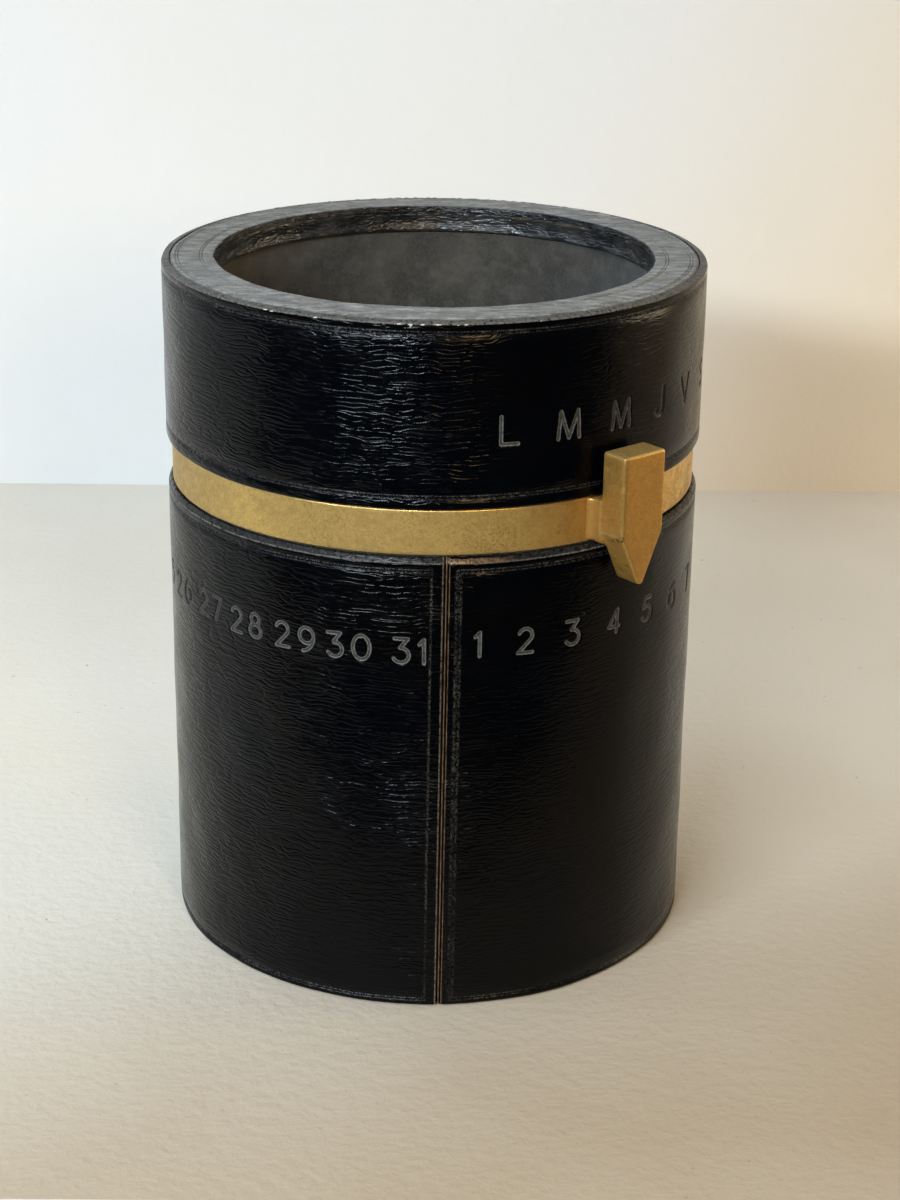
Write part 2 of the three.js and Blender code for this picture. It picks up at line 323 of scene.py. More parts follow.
def spread(low, high, coarse, windows=()):
    """Places from low to high, a coarse step apart, or a window's own step inside (start, end, step)."""
    places = [low]
    while places[-1] < high:
        here = places[-1]
        steps = [step for start, end, step in windows if start <= here < end]
        stops = [start for start, _, _ in windows if start > here] + [high]
        places.append(min([here + min(steps, default=coarse)] + stops))
    return np.array(places)


def windows_across(lines, mesh):
    """Windows of finer mesh across lines, from a reach to either side and a step."""
    reach, step = mesh
    return [(line - reach, line + reach, step) for line in lines]


def ease(value):
    """A smooth rise from 0 to 1 as the value goes from 0 to 1."""
    value = np.clip(value, 0, 1)
    return value * value * (3 - 2 * value)


def groove(distance, width):
    """1 in the middle of a line, falling smoothly to 0 at half its width."""
    return np.clip(1 - (2 * distance / width) ** 2, 0, 1) ** 2


def double_line(distance, apart=TOOL_SPREAD):
    return groove(np.abs(distance) - apart, TOOL_WIDTH)


def distance_to_path(points, path):
    """The distance from each point to a path of straight stretches."""
    start = path[:-1]
    along = path[1:] - start
    offset = points[:, None] - start
    share = np.clip((offset * along).sum(-1) / (along ** 2).sum(-1), 0, 1)
    return np.linalg.norm(offset - share[..., None] * along, axis=-1).min(axis=1)


# Meshes


def add_object(name, data):
    """Puts a mesh, lamp or camera in the scene."""
    piece = bpy.data.objects.new(name, data)
    bpy.context.scene.collection.objects.link(piece)
    return piece


def make_piece(name, points, material, body, nodes, marks=None, faces=None, sharp=35):
    """A mesh piece that stands for CAD nodes. Marks are named values, one for each point."""
    if faces is None:
        faces = grid_faces(*points.shape[:2])
    mesh = bpy.data.meshes.new(name)
    mesh.from_pydata(points.reshape(-1, 3).tolist(), [], faces)
    for mark, values in (marks or {}).items():
        values = np.broadcast_to(values, points.shape[:-1]).astype(np.float32)
        mesh.attributes.new(mark, "FLOAT", "POINT").data.foreach_set("value", values.ravel())
    mesh.materials.append(material)
    piece = add_object(name, mesh)
    finish_mesh(mesh, sharp)
    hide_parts(*nodes)
    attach(piece, body)


def finish_mesh(mesh, sharp):
    """Merges points that meet, and shades smooth but for edges sharper than the angle."""
    shape = bmesh.new()
    shape.from_mesh(mesh)
    bmesh.ops.remove_doubles(shape, verts=shape.verts, dist=MERGE_DISTANCE)
    shape.to_mesh(mesh)
    shape.free()
    mesh.shade_smooth()
    mesh.set_sharp_from_angle(angle=math.radians(sharp))


def grid_faces(rows, columns, open_seam=False):
    """A grid's quads. Rows close on themselves, and so do columns unless a seam is open."""
    index = np.arange(rows * columns).reshape(rows, columns)
    caps = [index[:, 0].tolist(), index[::-1, -1].tolist()] if open_seam else []
    if not open_seam:
        index = np.hstack([index, index[:, :1]])
    index = np.vstack([index, index[:1]])
    quads = np.stack([index[:-1, :-1], index[:-1, 1:], index[1:, 1:], index[1:, :-1]], axis=-1)
    return quads.reshape(-1, 4).tolist() + caps


def rounded(corners, steps=4):
    """A closed profile through corners of (radius, height, round)."""
    profile = []
    for i, (r, z, size) in enumerate(corners):
        here = np.array([r, z])
        before = np.array(corners[i - 1][:2])
        after = np.array(corners[(i + 1) % len(corners)][:2])
        if size == 0:
            profile.append(here)
            continue
        enter = here + (before - here) / np.linalg.norm(before - here) * size
        leave = here + (after - here) / np.linalg.norm(after - here) * size
        for share in np.linspace(0, 1, steps + 1):
            profile.append((1 - share) ** 2 * enter + 2 * share * (1 - share) * here + share ** 2 * leave)
    return np.array(profile)


def straight(radius, height):
    """A stretch of a profile at one radius or one height."""
    return np.column_stack(np.broadcast_arrays(radius, height))


def turned(profile, columns):
    """The grid of points that a profile sweeps round the axis."""
    angles = np.linspace(0, FULL_TURN, columns, endpoint=False)
    return place(profile[:, :1], angles[None, :], profile[:, 1:])


def push_out(points, distance):
    """Moves each point away from the axis by a distance of its own."""
    flat = points[..., :2]
    outward = flat / np.maximum(np.linalg.norm(flat, axis=-1, keepdims=True), MM)
    flat += outward * distance[..., None]


# Figures and letters, one unit high, as paths in (x, y) from their lower left corner


def arc(x, y, rx, ry, start, end, steps=14):
    turn = np.radians(np.linspace(start, end, steps))
    return np.column_stack([x + rx * np.cos(turn), y + ry * np.sin(turn)])


def path(*parts):
    return np.vstack([np.atleast_2d(np.array(part, float)) for part in parts])


NINE_WIDTH = 0.67
NINE = [arc(0.33, 0.67, 0.32, 0.33, 0, 360, 24), arc(0.09, 0.67, 0.56, 0.67, 0, -82)]
GLYPHS = {
    "0": (0.68, [arc(0.34, 0.5, 0.34, 0.5, 0, 360, 30)]),
    "1": (0.2, [path((0.0, 0.8), (0.18, 1.0), (0.18, 0.0))]),
    "2": (0.6, [path(arc(0.3, 0.71, 0.28, 0.29, 160, -28), (0.0, 0.0), (0.6, 0.0))]),
    "3": (0.62, [path((0.04, 1.0), (0.57, 1.0), (0.27, 0.62), arc(0.3, 0.31, 0.32, 0.31, 88, -152))]),
    "4": (0.58, [path((0.58, 0.27), (0.0, 0.27), (0.44, 1.0), (0.44, 0.0))]),
    "5": (0.57, [path((0.53, 1.0), (0.12, 1.0), (0.06, 0.57), arc(0.27, 0.33, 0.3, 0.33, 128, -150))]),
    "6": (NINE_WIDTH, [(NINE_WIDTH, 1.0) - stroke for stroke in NINE]),
    "7": (0.56, [path((0.0, 1.0), (0.56, 1.0), (0.18, 0.0))]),
    "8": (0.6, [arc(0.3, 0.77, 0.22, 0.23, 0, 360, 24), arc(0.3, 0.27, 0.3, 0.27, 0, 360, 24)]),
    "9": (NINE_WIDTH, NINE),
    "D": (0.7, [path((0.0, 0.0), (0.0, 1.0), arc(0.2, 0.5, 0.5, 0.5, 90, -90), (0.0, 0.0))]),
    "J": (0.44, [path((0.44, 1.0), arc(0.22, 0.24, 0.22, 0.24, 0, -165))]),
    "L": (0.62, [path((0.0, 1.0), (0.0, 0.0), (0.62, 0.0))]),
    "M": (0.86, [path((0.0, 0.0), (0.08, 1.0), (0.43, 0.02), (0.78, 1.0), (0.86, 0.0))]),
    "S": (0.58, [path(arc(0.29, 0.75, 0.25, 0.25, 35, 270), arc(0.29, 0.25, 0.29, 0.25, 90, -150))]),
    "V": (0.78, [path((0.0, 1.0), (0.39, 0.0), (0.78, 1.0))]),
}


class Stamps:
    """Figures on a cover: the distance to the nearest stroke, and how much foil is left there."""

    def __init__(self, cover, figure_height, seed):
        self.cover = cover
        self.tall = figure_height
        self.stroke = np.full(cover.angle.shape, FAR_FROM_STROKES)
        self.foil = np.zeros(cover.angle.shape)
        self.chance = np.random.default_rng(seed)

    def text(self, text, centre, baseline, foil):
        """Stamps a text whose middle is at an angle in degrees, each figure by itself."""
        widths = [GLYPHS[figure][0] * self.tall for figure in text]
        left = -(sum(widths) + FIGURE_GAP * (len(text) - 1)) / 2
        for figure, width in zip(text, widths):
            self.figure(figure, math.radians(centre) + (left + width / 2) / self.cover.outer, baseline, foil)
            left += width + FIGURE_GAP

    def figure(self, figure, centre, baseline, foil):
        """Stamps one figure, slightly turned and out of line, as by hand."""
        width, strokes = GLYPHS[figure]
        tilt = self.chance.normal(0, FIGURE_TILT)
        drift = self.chance.normal(0, FIGURE_DRIFT, 2)
        x = turn_from(self.cover.angle, centre) * self.cover.outer - drift[0]
        y = self.cover.height - baseline - self.tall / 2 - drift[1]
        reach = self.tall / 2 + STROKE_MARGIN
        near = (np.abs(x) < reach) & (np.abs(y) < reach)
        x, y = x[near], y[near]
        local = np.column_stack([
            x * math.cos(tilt) + y * math.sin(tilt) + width * self.tall / 2,
            y * math.cos(tilt) - x * math.sin(tilt) + self.tall / 2,
        ])
        distance = np.min([distance_to_path(local, stroke * self.tall) for stroke in strokes], axis=0)
        self.foil[near] = np.where(distance < self.stroke[near], foil, self.foil[near])
        self.stroke[near] = np.minimum(distance, self.stroke[near])


def date_angles():
    """The dates' angles: measured where the photograph shows them, and spaced evenly between."""
    before = SEEN_DATE_ANGLES[FIRST_HIDDEN_DATE - 1]
    after = SEEN_DATE_ANGLES[LAST_HIDDEN_DATE + 1] + 360
    hidden = range(FIRST_HIDDEN_DATE, LAST_HIDDEN_DATE + 1)
    step = (after - before) / (len(hidden) + 1)
    return SEEN_DATE_ANGLES | {date: before + step * (i + 1) for i, date in enumerate(hidden)}


def stamp_dates(cover):
    """The dates, in a row that drops a little. Their foil is worn off towards the back."""
    stamps = Stamps(cover, FIGURE_HEIGHT, seed=31)
    angles = date_angles()
    for date, centre in sorted(angles.items()):
        passed = (date - 1) / (len(angles) - 1)
        baseline = FIRST_DATE_BASELINE + passed * (LAST_DATE_BASELINE - FIRST_DATE_BASELINE)
        behind = 0.5 - 0.5 * math.cos(math.radians(centre))
        stamps.text(str(date), centre, baseline, foil=1 - ease(FOIL_LOSS * behind))
    return stamps


def stamp_days(cover):
    stamps = Stamps(cover, LETTER_HEIGHT, seed=7)
    for letter, centre, foil in zip(DAY_LETTERS, DAY_ANGLES, DAY_FOIL_SHARES):
        stamps.text(letter, centre, DAY_BASELINE, foil)
    return stamps


# Leather covers

# The raw edge at a seam: millimetres from its end, how deep the leather lies there, and how bare it is
RAW_EDGE = {
    "along": (0, 0.05, 0.1, 0.22, 0.29, 0.38, 0.47, 0.54, 0.65, 0.74, 0.86),
    "depth": (0.6, 0.3, 0.15, 0.16, 0.32, 0.5, 0.32, 0.12, 0.1, 0.06, 0),
    "raw": (0, 0.5, 0.84, 0.8, 0.3, 0, 0.2, 0.55, 0.5, 0.1, 0),
}
# The other side of the seam is a plain worn bevel
BEVEL_EDGE = {
    "along": (0, 0.08, 0.2, 0.38, 0.5),
    "depth": (0.6, 0.34, 0.12, 0.06, 0),
    "raw": (0, 0.45, 0.35, 0, 0),
}
WORN_ALONG_MM = (0.06, 0.14, 0.3, 0.42)
WORN_SHARES = (0, 1, 1, 0)


class Cover:
    """A wrap of leather round the holder, butted at one seam."""

    def __init__(self, node, back_node, seam, bevel, windows, rise=0, lettered=None):
        _, self.outer, self.low, self.high = node_size(node)
        self.inner = node_size(back_node)[1] + COVER_BACK_GAP
        self.high += rise
        self.bevel = bevel
        self.length = FULL_TURN * self.outer - SEAM_GAP
        seam_top, seam_foot = map(math.radians, seam)
        self.along = self.column_places(seam_foot, lettered)
        self.make_profile(windows)
        self.lay_out(seam_top, seam_foot)
        self.sink, self.raw, self.worn, self.chipped = (np.zeros(self.angle.shape) for _ in range(4))

    def column_places(self, seam, lettered):
        """Distances round the cover from the seam's right side, closer together at detail."""
        reach, step = SEAM_RIGHT_MESH
        windows = [(0, reach, step)]
        reach, step = SEAM_LEFT_MESH
        windows.append((self.length - reach, self.length, step))
        windows += windows_across([SEAM_TOOL_INSET, self.length - SEAM_TOOL_INSET], SEAM_LINE_MESH)
        if lettered is None:
            return spread(0, self.length, COVER_PITCH, windows)
        start, end = ((math.radians(limit) - seam) % FULL_TURN * self.outer for limit in lettered)
        windows.append((start, end, LETTERED_PITCH_SHARE * COVER_PITCH))
        return spread(0, self.length, PLAIN_PITCH_SHARE * COVER_PITCH, windows)

    def make_profile(self, windows):
        """The closed section: under the foot, up the wall and over the top."""
        inner, outer, low, high = self.inner, self.outer, self.low, self.high
        run, drop = self.bevel
        corner = high - drop
        wall = spread(low + EDGE_ROUND, corner - FACET_TALL - TOP_ROUND, WALL_PITCH, windows)
        foot = rounded([(inner, low, 0), (outer, low, EDGE_ROUND), (outer, high, 0)])[:-1]
        edge = rounded([
            (outer, wall[-2], 0),
            (outer, corner - FACET_TALL, TOP_ROUND / 2),
            (outer - FACET_IN, corner, TOP_ROUND / 2),
            (outer - run, high, TOP_ROUND),
            (inner, high, 0),
        ], steps=3)[1:-1]
        across = np.linspace(0, 1, 4)[1:, None]
        top = edge[-1] + across * (np.array([inner, high]) - edge[-1])
        profile = np.vstack([foot, straight(outer, wall[1:-1]), edge, top])
        self.reach, self.level = profile[:, :1], profile[:, 1:]
        self.on_facet = ease((self.level - corner + FACET_TALL) / EDGE_FADE)
        self.on_top = ease((self.level - corner - TOP_FADE_START) / TOP_FADE)
        self.on_wall = (self.reach > outer - HAIR) * 1.0

    def lay_out(self, seam_top, seam_foot):
        """Each point's angle and height, with a slant at the seam that fades out away from it."""
        rise = (self.level - self.low) / (self.high - self.low)
        from_seam = np.minimum(self.along, self.length - self.along)
        slant = (seam_top - seam_foot) * (rise - 0.5) * ease(1 - from_seam / SEAM_FADE)
        middle = (seam_top + seam_foot) / 2
        self.angle = middle + (self.along + SEAM_GAP / 2) / self.outer + slant
        self.height = np.broadcast_to(self.level, self.angle.shape)

    def tool_lines(self, heights):
        """Presses a double line in at each height, and lines down both sides of the seam."""
        left = self.length - self.along
        right = self.along
        inside = ease((np.minimum(left, right) - SEAM_TOOL_INSET + LINE_END_REACH) / LINE_END_FADE)
        between = (self.height > min(heights) - TOOL_SPREAD) & (self.height < max(heights) + TOOL_SPREAD)
        beside = groove(left - SEAM_TOOL_INSET, LEFT_TOOL_WIDTH)
        beside = np.maximum(beside, double_line(right - SEAM_TOOL_INSET, WIDE_TOOL_SPREAD))
        pressed = np.where(between, beside, 0)
        for height in heights:
            pressed = np.maximum(pressed, double_line(self.height - height) * inside)
        strip = STRIP_SHARE * between * groove(right - SEAM_TOOL_INSET, STRIP_WIDTH) ** 0.25
        self.tooled = np.maximum(pressed, strip)
        self.sink += TOOL_DEPTH * pressed

    def stamp(self, stamps):
        """Presses the figures in, with walls as steep as the mesh can hold."""
        self.stroke, self.foil = stamps.stroke, stamps.foil
        self.sink += STROKE_DEPTH * ease((STROKE_WIDTH / 2 + STROKE_WALL / 2 - stamps.stroke) / STROKE_WALL)

    def open_seam(self):
        """Shapes the seam: a raw edge on the right and a worn bevel on the left."""
        right = self.along / MM
        left = (self.length - self.along) / MM
        for side, distance in ((RAW_EDGE, right), (BEVEL_EDGE, left)):
            self.sink += MM * np.interp(distance, side["along"], side["depth"])
            self.raw = np.maximum(self.raw, np.interp(distance, side["along"], side["raw"]))
        self.worn = np.maximum(self.worn, np.interp(left, WORN_ALONG_MM, WORN_SHARES))

    def dress_top(self, raw, worn, facet_rub_and_highlight, chips=()):
        """Shows the cut edge on top: raw brown, rubbed grey, and chipped to pale leather. The facet's grey is
        rubbed wear on the collar and a painted highlight on the base.
        """
        on_bevel = self.on_facet * ease((self.reach - self.outer + self.bevel[0]) / EDGE_FADE)
        rub_and_highlight = np.maximum(self.on_top * worn, self.on_facet * (1 - self.on_top) * facet_rub_and_highlight)
        self.raw = np.maximum(self.raw, on_bevel * raw)
        self.worn = np.maximum(self.worn, np.clip(rub_and_highlight, 0, 1))
        for angle, wide, drop in chips:
            aside = turn_from(self.angle, math.radians(angle)) * self.outer
            below = self.height - (self.high - self.bevel[1] - drop * MM)
            chip = ease(1.6 - np.hypot(aside / (wide * MM), below / CHIP_TALL))
            self.chipped = np.maximum(self.chipped, chip)
        self.sink += CHIP_DEPTH * self.chipped

    def piece(self, name, material, body, node, seed):
        """Builds the mesh, with the face slightly uneven and the cut edge rough."""
        even = place(self.outer, self.angle, self.height)
        sink = self.sink + np.maximum(relief(even, COVER_WAVES, seed, 1.6), 0)
        rough = waves(even, CUT_COARSE, seed + 1) + waves(even, CUT_FINE, seed + 2)
        radius = self.reach - sink * self.on_wall
        at_corner = (self.on_wall == 0) & (self.reach > self.inner)
        radius = np.where(at_corner, np.maximum(radius - sink, self.inner + LEAST_LEATHER), radius)
        height = self.height - self.on_top * CUT_ROUGHNESS * np.maximum(rough + 2, 0)
        marks = {
            "stroke": self.stroke / MM,
            "foil": self.foil,
            "raw": self.raw,
            "worn": self.worn,
            "tooled": self.tooled,
            "chipped": self.chipped,
        }
        faces = grid_faces(*self.angle.shape, open_seam=True)
        points = place(radius, self.angle, height)
        make_piece(name, points, material, body, [node], marks, faces)


def text_window(low, high):
    """The window of finer mesh for lettering."""
    margin, step = TEXT_MESH
    return low - margin, high + margin, step


def base_leather(material):
    """The base's cover: its top is bare right of the seam, and rubbed all round the rest. A pale line along
    its facet is a painted highlight.
    """
    _, _, low, high = node_size("base_cover")
    lines = [low + FREE_EDGE_TOOL_INSET, high - RING_EDGE_TOOL_INSET]
    dates = text_window(LAST_DATE_BASELINE, FIRST_DATE_BASELINE + FIGURE_HEIGHT)
    windows = windows_across(lines, LINE_MESH) + [dates]
    cover = Cover("base_cover", "base_wall", BASE_SEAM, BASE_BEVEL, windows)
    cover.tool_lines(lines)
    cover.stamp(stamp_dates(cover))
    cover.open_seam()
    bare = ease(1 - cover.along / cover.outer / math.radians(BARE_TOP_SPAN))
    top_worn, facet_rub_and_highlight = BASE_RUB_AND_HIGHLIGHT_SHARES
    # The facet's share paints a pale line along the base's top as a highlight
    cover.dress_top(bare, top_worn * (1 - bare), facet_rub_and_highlight * (1 - bare))
    cover.piece("base_leather", material, "base", "base_cover", seed=11)


def collar_leather(material):
    """The collar's cover, with a wide bevel and chips along its top."""
    _, _, low, high = node_size("collar_cover")
    lines = [low + RING_EDGE_TOOL_INSET, high - FREE_EDGE_TOOL_INSET - COLLAR_TOOL_DROP]
    windows = windows_across(lines, LINE_MESH) + [text_window(DAY_BASELINE, DAY_BASELINE + LETTER_HEIGHT)]
    lettered = (DAY_ANGLES[0] - LETTERED_MARGIN, DAY_ANGLES[-1] + LETTERED_MARGIN)
    bevel, rise = COLLAR_BEVEL, COLLAR_EDGE_RISE
    cover = Cover("collar_cover", "collar_wall", COLLAR_SEAM, bevel, windows, rise, lettered)
    cover.tool_lines(lines)
    cover.stamp(stamp_days(cover))
    cover.open_seam()
    cover.dress_top(0, *COLLAR_RUBBED_SHARES, COLLAR_CHIPS)
    cover.piece("collar_leather", material, "collar", "collar_cover", seed=21)


# Rim, lip, lining and foot


def rim_leather(material):
    """The flat ring on the collar's top: tooled near both edges, cut rough inside and worn uneven."""
    inner, outer, low, high = node_size("rim_cover")
    lines = [outer - RIM_OUTER_TOOL_INSET, inner + RIM_INNER_TOOL_INSET]
    windows = windows_across(lines, LINE_MESH)
    across = spread(inner + RIM_FLAT_FROM, outer - RIM_BEVEL - RIM_FLAT_TO, RIM_PITCH, windows)[::-1]
    outside = rounded([
        (outer, low, 0),
        (outer, high - RIM_BEVEL_DROP, RIM_BEVEL_ROUND),
        (outer - RIM_BEVEL, high, TOP_ROUND),
        (inner, high, 0),
    ], steps=3)[:-1]
    inside = rounded([(outer, high, 0), (inner, high, RIM_INNER_ROUND), (inner, low, 0)])[1:]
    profile = np.vstack([outside, straight(across[1:-1], high), inside])
    points = turned(profile, columns=900)
    radius, level = profile[:, :1], profile[:, 1:]
    tooled = np.maximum(*[double_line(radius - line) for line in lines])
    face = ease((level - low) / (0.5 * (high - low)))
    sag = relief(points, RIM_SAG, seed=41) + relief(points, RIM_PITS, seed=42, level=2)
    points[..., 2] -= face * (np.maximum(sag, 0) + TOOL_DEPTH * tooled)
    ragged = relief(points, RIM_WANDER, seed=43, level=0) + relief(points, RIM_TEARS, seed=44, level=0)
    at_edge = ease(1 - (radius - inner) / RIM_RAGGED_REACH)
    push_out(points, at_edge * np.maximum(ragged + RIM_RAGGED_LEAST, 0))
    dark_inside = ease(1.3 - (radius - inner) / RIM_DARK_INSIDE)
    dark_outside = ease((radius - outer) / RIM_DARK_OUTSIDE + 2.6)
    marks = {"tooled": tooled, "raw": np.maximum(dark_inside, dark_outside)}
    make_piece("rim_leather", points, material, "collar", ["rim_cover"], marks)


def lip_leather(material):
    """The crinkled strip over the top's inner edge, hollow and rounded at its foot."""
    inner, outer, low, high = node_size("lip_cover")
    face = straight(inner, np.linspace(high, low + LIP_ROUND, num=22))
    foot = rounded([(inner, high, 0), (inner, low, LIP_ROUND), (outer, low, 0)], steps=6)[1:]
    profile = np.vstack([[(outer, high)], face[:-1], foot])
    points = turned(profile, columns=960)
    rise = (profile[:, 1:] - low) / (high - low)
    shown = (profile[:, :1] < outer - FACE_REACH) * 1.0
    stretched = points * LIP_STRETCH
    folds = np.maximum(relief(stretched, LIP_FOLDS, seed=51, level=1.6), 0)
    creases = np.abs(relief(stretched, LIP_CREASES, seed=52, level=0))
    crinkled = 0.5 + 0.9 * ease(0.5 + relief(points, LIP_CRINKLED, seed=53, level=0))
    hollow = LIP_HOLLOW * np.sin(np.clip(rise, 0, 1) * math.pi) ** 2
    push_out(points, shown * (hollow + crinkled * (folds + creases)))
    worn = ease((rise - 0.8) / 0.2) * shown * ease(0.2 + relief(points, LIP_WORN, seed=54, level=0))
    make_piece("lip_leather", points, material, "collar", ["lip_cover"], {"worn": worn})


def well_lining(material):
    """The suede on the well's wall, laid slightly uneven."""
    inner, outer, low, high = node_size("well_lining")
    face = straight(inner, np.linspace(high - LINING_TOP, low, num=64))
    profile = np.vstack([[(outer, low), (outer, high), (inner + LINING_TOP, high)], face])
    points = turned(profile, columns=320)
    shown = (profile[:, :1] < inner + FACE_REACH) * 1.0
    push_out(points, shown * np.maximum(relief(points * LINING_STRETCH, LINING_WAVES, seed=61), 0))
    make_piece("suede_lining", points, material, "base", ["well_lining"])


def well_floor(material):
    """The suede pad at the bottom of the well."""
    _, radius, low, high = node_size("well_floor_pad")
    face = straight(np.linspace(radius - FLOOR_ROUND, 0, num=60)[1:], high)
    edge = rounded([(0, low, 0), (radius, low, 0), (radius, high, FLOOR_ROUND), (0, high, 0)])[:-1]
    profile = np.vstack([edge, face])
    points = turned(profile, columns=240)
    shown = ease((profile[:, 1:] - low) / (high - low))
    points[..., 2] -= shown * np.maximum(relief(points, FLOOR_WAVES, seed=71), 0)
    make_piece("suede_floor", points, material, "base", ["well_floor_pad"])


def foot_leather(material):
    """The disc that the holder stands on, flat below and soft at its edge."""
    _, radius, low, high = node_size("foot_disc")
    corners = [(0, low, 0), (radius, low, FOOT_ROUND), (radius, high, FOOT_ROUND), (0, high, 0)]
    profile = rounded(corners, steps=5)
    points = turned(profile, columns=480)
    edge = ease((profile[:, :1] - radius + FOOT_EDGE) / FOOT_EDGE)
    push_out(points, -edge * np.maximum(relief(points, FOOT_WAVES, seed=81), 0))
    make_piece("foot_leather", points, material, "base", ["foot_disc"])


# Brass


def brass_band(material):
    """The band in the groove, with soft bevels and a face that was filed by hand."""
    inner, outer, low, high = node_size("pointer_ring")
    bevels = [(outer, low, BAND_EDGE_ROUND), (outer, high, BAND_EDGE_ROUND)]
    edges = rounded([(inner, low, 0), *bevels, (inner, high, 0)])
    rows = np.linspace(low + BAND_EDGE_ROUND, high - BAND_EDGE_ROUND, num=18)
    wall = straight(outer, rows[1:-1])
    half = len(edges) // 2
    profile = np.vstack([edges[:half], wall, edges[half:]])
    points = turned(profile, BAND_COLUMNS)
    shown = (profile[:, :1] > inner + FACE_REACH) * 1.0
    push_out(points, -shown * np.maximum(relief(points, BAND_DENTS, seed=91), 0))
    above = profile[:, 1:] - low
    angles = np.linspace(0, 360, BAND_COLUMNS, endpoint=False)
    marks = {
        # Edges: polish, and a painted highlight
        "edge": ease(1 - np.minimum(above, high - low - above) / BAND_EDGE_WEAR_AND_HIGHLIGHT),
        # Darker along the band's foot
        "grime_and_shade": 0.35 * ease(1 - above / BAND_DARK_FOOT_TALL),
        # Painted reflection: amber near the pointer, as if the band mirrored its side
        "reflection_tint": ease(1.2 - np.abs(angles - POINTER_ANGLE) / REFLECTION_TINT_SPAN),
        "dull": ease(1.3 - np.abs(angles - DULL_ANGLE) / DULL_SPAN),
    }
    make_piece("brass_band", points, material, "pointer_band", ["pointer_ring"], marks)


def prism(shape, outline, depth_axis, low, high):
    """Adds to a bmesh an outline of (a, b) points drawn out from low to high along an axis."""
    layers = []
    for level in (low, high):
        corners = [(a, level, b) if depth_axis == 1 else (a, b, level) for a, b in outline]
        layers.append([shape.verts.new(corner) for corner in corners])
    count = len(outline)
    shape.faces.new(layers[0])
    shape.faces.new(reversed(layers[1]))
    for i in range(count):
        j = (i + 1) % count
        shape.faces.new([layers[0][j], layers[0][i], layers[1][i], layers[1][j]])


def pointer_outline(low, high):
    half = POINTER_WIDTH / 2
    taper = low + POINTER_TAPER
    return [(-BLUNT_TIP, low), (BLUNT_TIP, low), (half, taper), (half, high), (-half, high), (-half, taper)]


def stem_outline(seat, back):
    """The stem's outline from above, flared at the band and ending in the block."""
    half = POINTER_WIDTH / 2
    root = math.sqrt((seat - STEM_ROOT) ** 2 - (half + STEM_FLARE) ** 2)
    side = [(half + STEM_FLARE, STEM_IN_BAND - root)]
    for turn in np.linspace(0, math.pi / 2, num=10):
        side.append((half + STEM_FLARE * (1 - math.sin(turn)), -root - STEM_FLARE * (1 - math.cos(turn))))
    side.append((half, back - STEM_IN_BLOCK))
    return side + [(-x, y) for x, y in reversed(side)]


def pointer_edges(low, high, front, back):
    """The pointer's sharp edges as paths: front, back and between."""
    outline = pointer_outline(low, high)
    loops = [path(*[(a, depth, b) for a, b in outline + outline[:1]]) for depth in (front, back)]
    return loops + [path((a, front, b), (a, back, b)) for a, b in outline]


def brass_pointer(material):
    """The pointed block on its flared stem, melted into one mesh with worn edges."""
    _, band_outer, band_low, band_high = node_size("pointer_ring")
    _, _, low, high = node_size("pointer")
    low += TIP_WORN
    front = -node_reach_at("pointer", POINTER_ANGLE)
    back = front + POINTER_DEPTH
    seat = band_outer - POINTER_SEAT
    stem_low = band_low + STEM_INSET
    shape = bmesh.new()
    prism(shape, pointer_outline(low, high), 1, front, back)
    prism(shape, stem_outline(seat, back), 2, stem_low, band_high - STEM_INSET)
    bmesh.ops.recalc_face_normals(shape, faces=shape.faces)
    mesh = bpy.data.meshes.new("brass_pointer_parts")
    shape.to_mesh(mesh)
    shape.free()
    points, faces = melted(mesh)
    half, taper = POINTER_WIDTH / 2, low + POINTER_TAPER
    under = [path((x, -seat, stem_low), (x, back, stem_low), (x, front, taper)) for x in (-half, half)]
    from_edge, from_joint = (
        np.min([distance_to_path(points, line) for line in lines], axis=0)
        for lines in (pointer_edges(low, high, front, back), under)
    )
    marks = {
        # Edges: polish, and a painted highlight
        "edge": ease(1.1 - from_edge / POINTER_EDGE_WEAR_AND_HIGHLIGHT),
        # Painted shade under the stem and along the block's sides where the taper starts, mixed with grime
        "grime_and_shade": ease(1.3 - from_joint / POINTER_GRIME_AND_SHADE_WIDE),
        # Painted reflection: paler gold at the top, as if it mirrored the pale wall
        "reflection_tint": 1 - 0.9 * ease((points[:, 2] - high + POINTER_TOP_REFLECTION_DROP) / POINTER_TOP_REFLECTION_FADE),
    }
    turn = Matrix.Rotation(math.radians(POINTER_ANGLE), 3, "Z")
    points = points @ np.array(turn).T
    nodes = ["pointer"]
    make_piece("brass_pointer", points, material, "pointer_band", nodes, marks, faces, sharp=180)


def node_reach_at(node, angle):
    """How far a CAD node reaches from the axis towards an angle."""
    facing = Vector((math.sin(math.radians(angle)), -math.cos(math.radians(angle)), 0))
    return max(v.co.dot(facing) for v in frame["nodes"][node].data.vertices)


def melted(mesh):
    """Remeshes overlapping shells into one fine skin, and smooths it a little."""
    shell = add_object(mesh.name, mesh)
    remesh = shell.modifiers.new("remesh", "REMESH")
    remesh.mode = "VOXEL"
    remesh.voxel_size = POINTER_VOXEL
    smooth = shell.modifiers.new("smooth", "SMOOTH")
    smooth.factor = 0.5
    smooth.iterations = POINTER_SOFTENING
    result = bpy.data.meshes.new_from_object(shell.evaluated_get(bpy.context.evaluated_depsgraph_get()))
    points = np.array([v.co for v in result.vertices])
    faces = [list(face.vertices) for face in result.polygons]
    bpy.data.objects.remove(shell)
    bpy.data.meshes.remove(result)
    return points, faces


# Colours
BLUE_BLACK, WARM_BLACK = (0.0005, 0.0009, 0.0018), (0.0011, 0.0011, 0.0013)
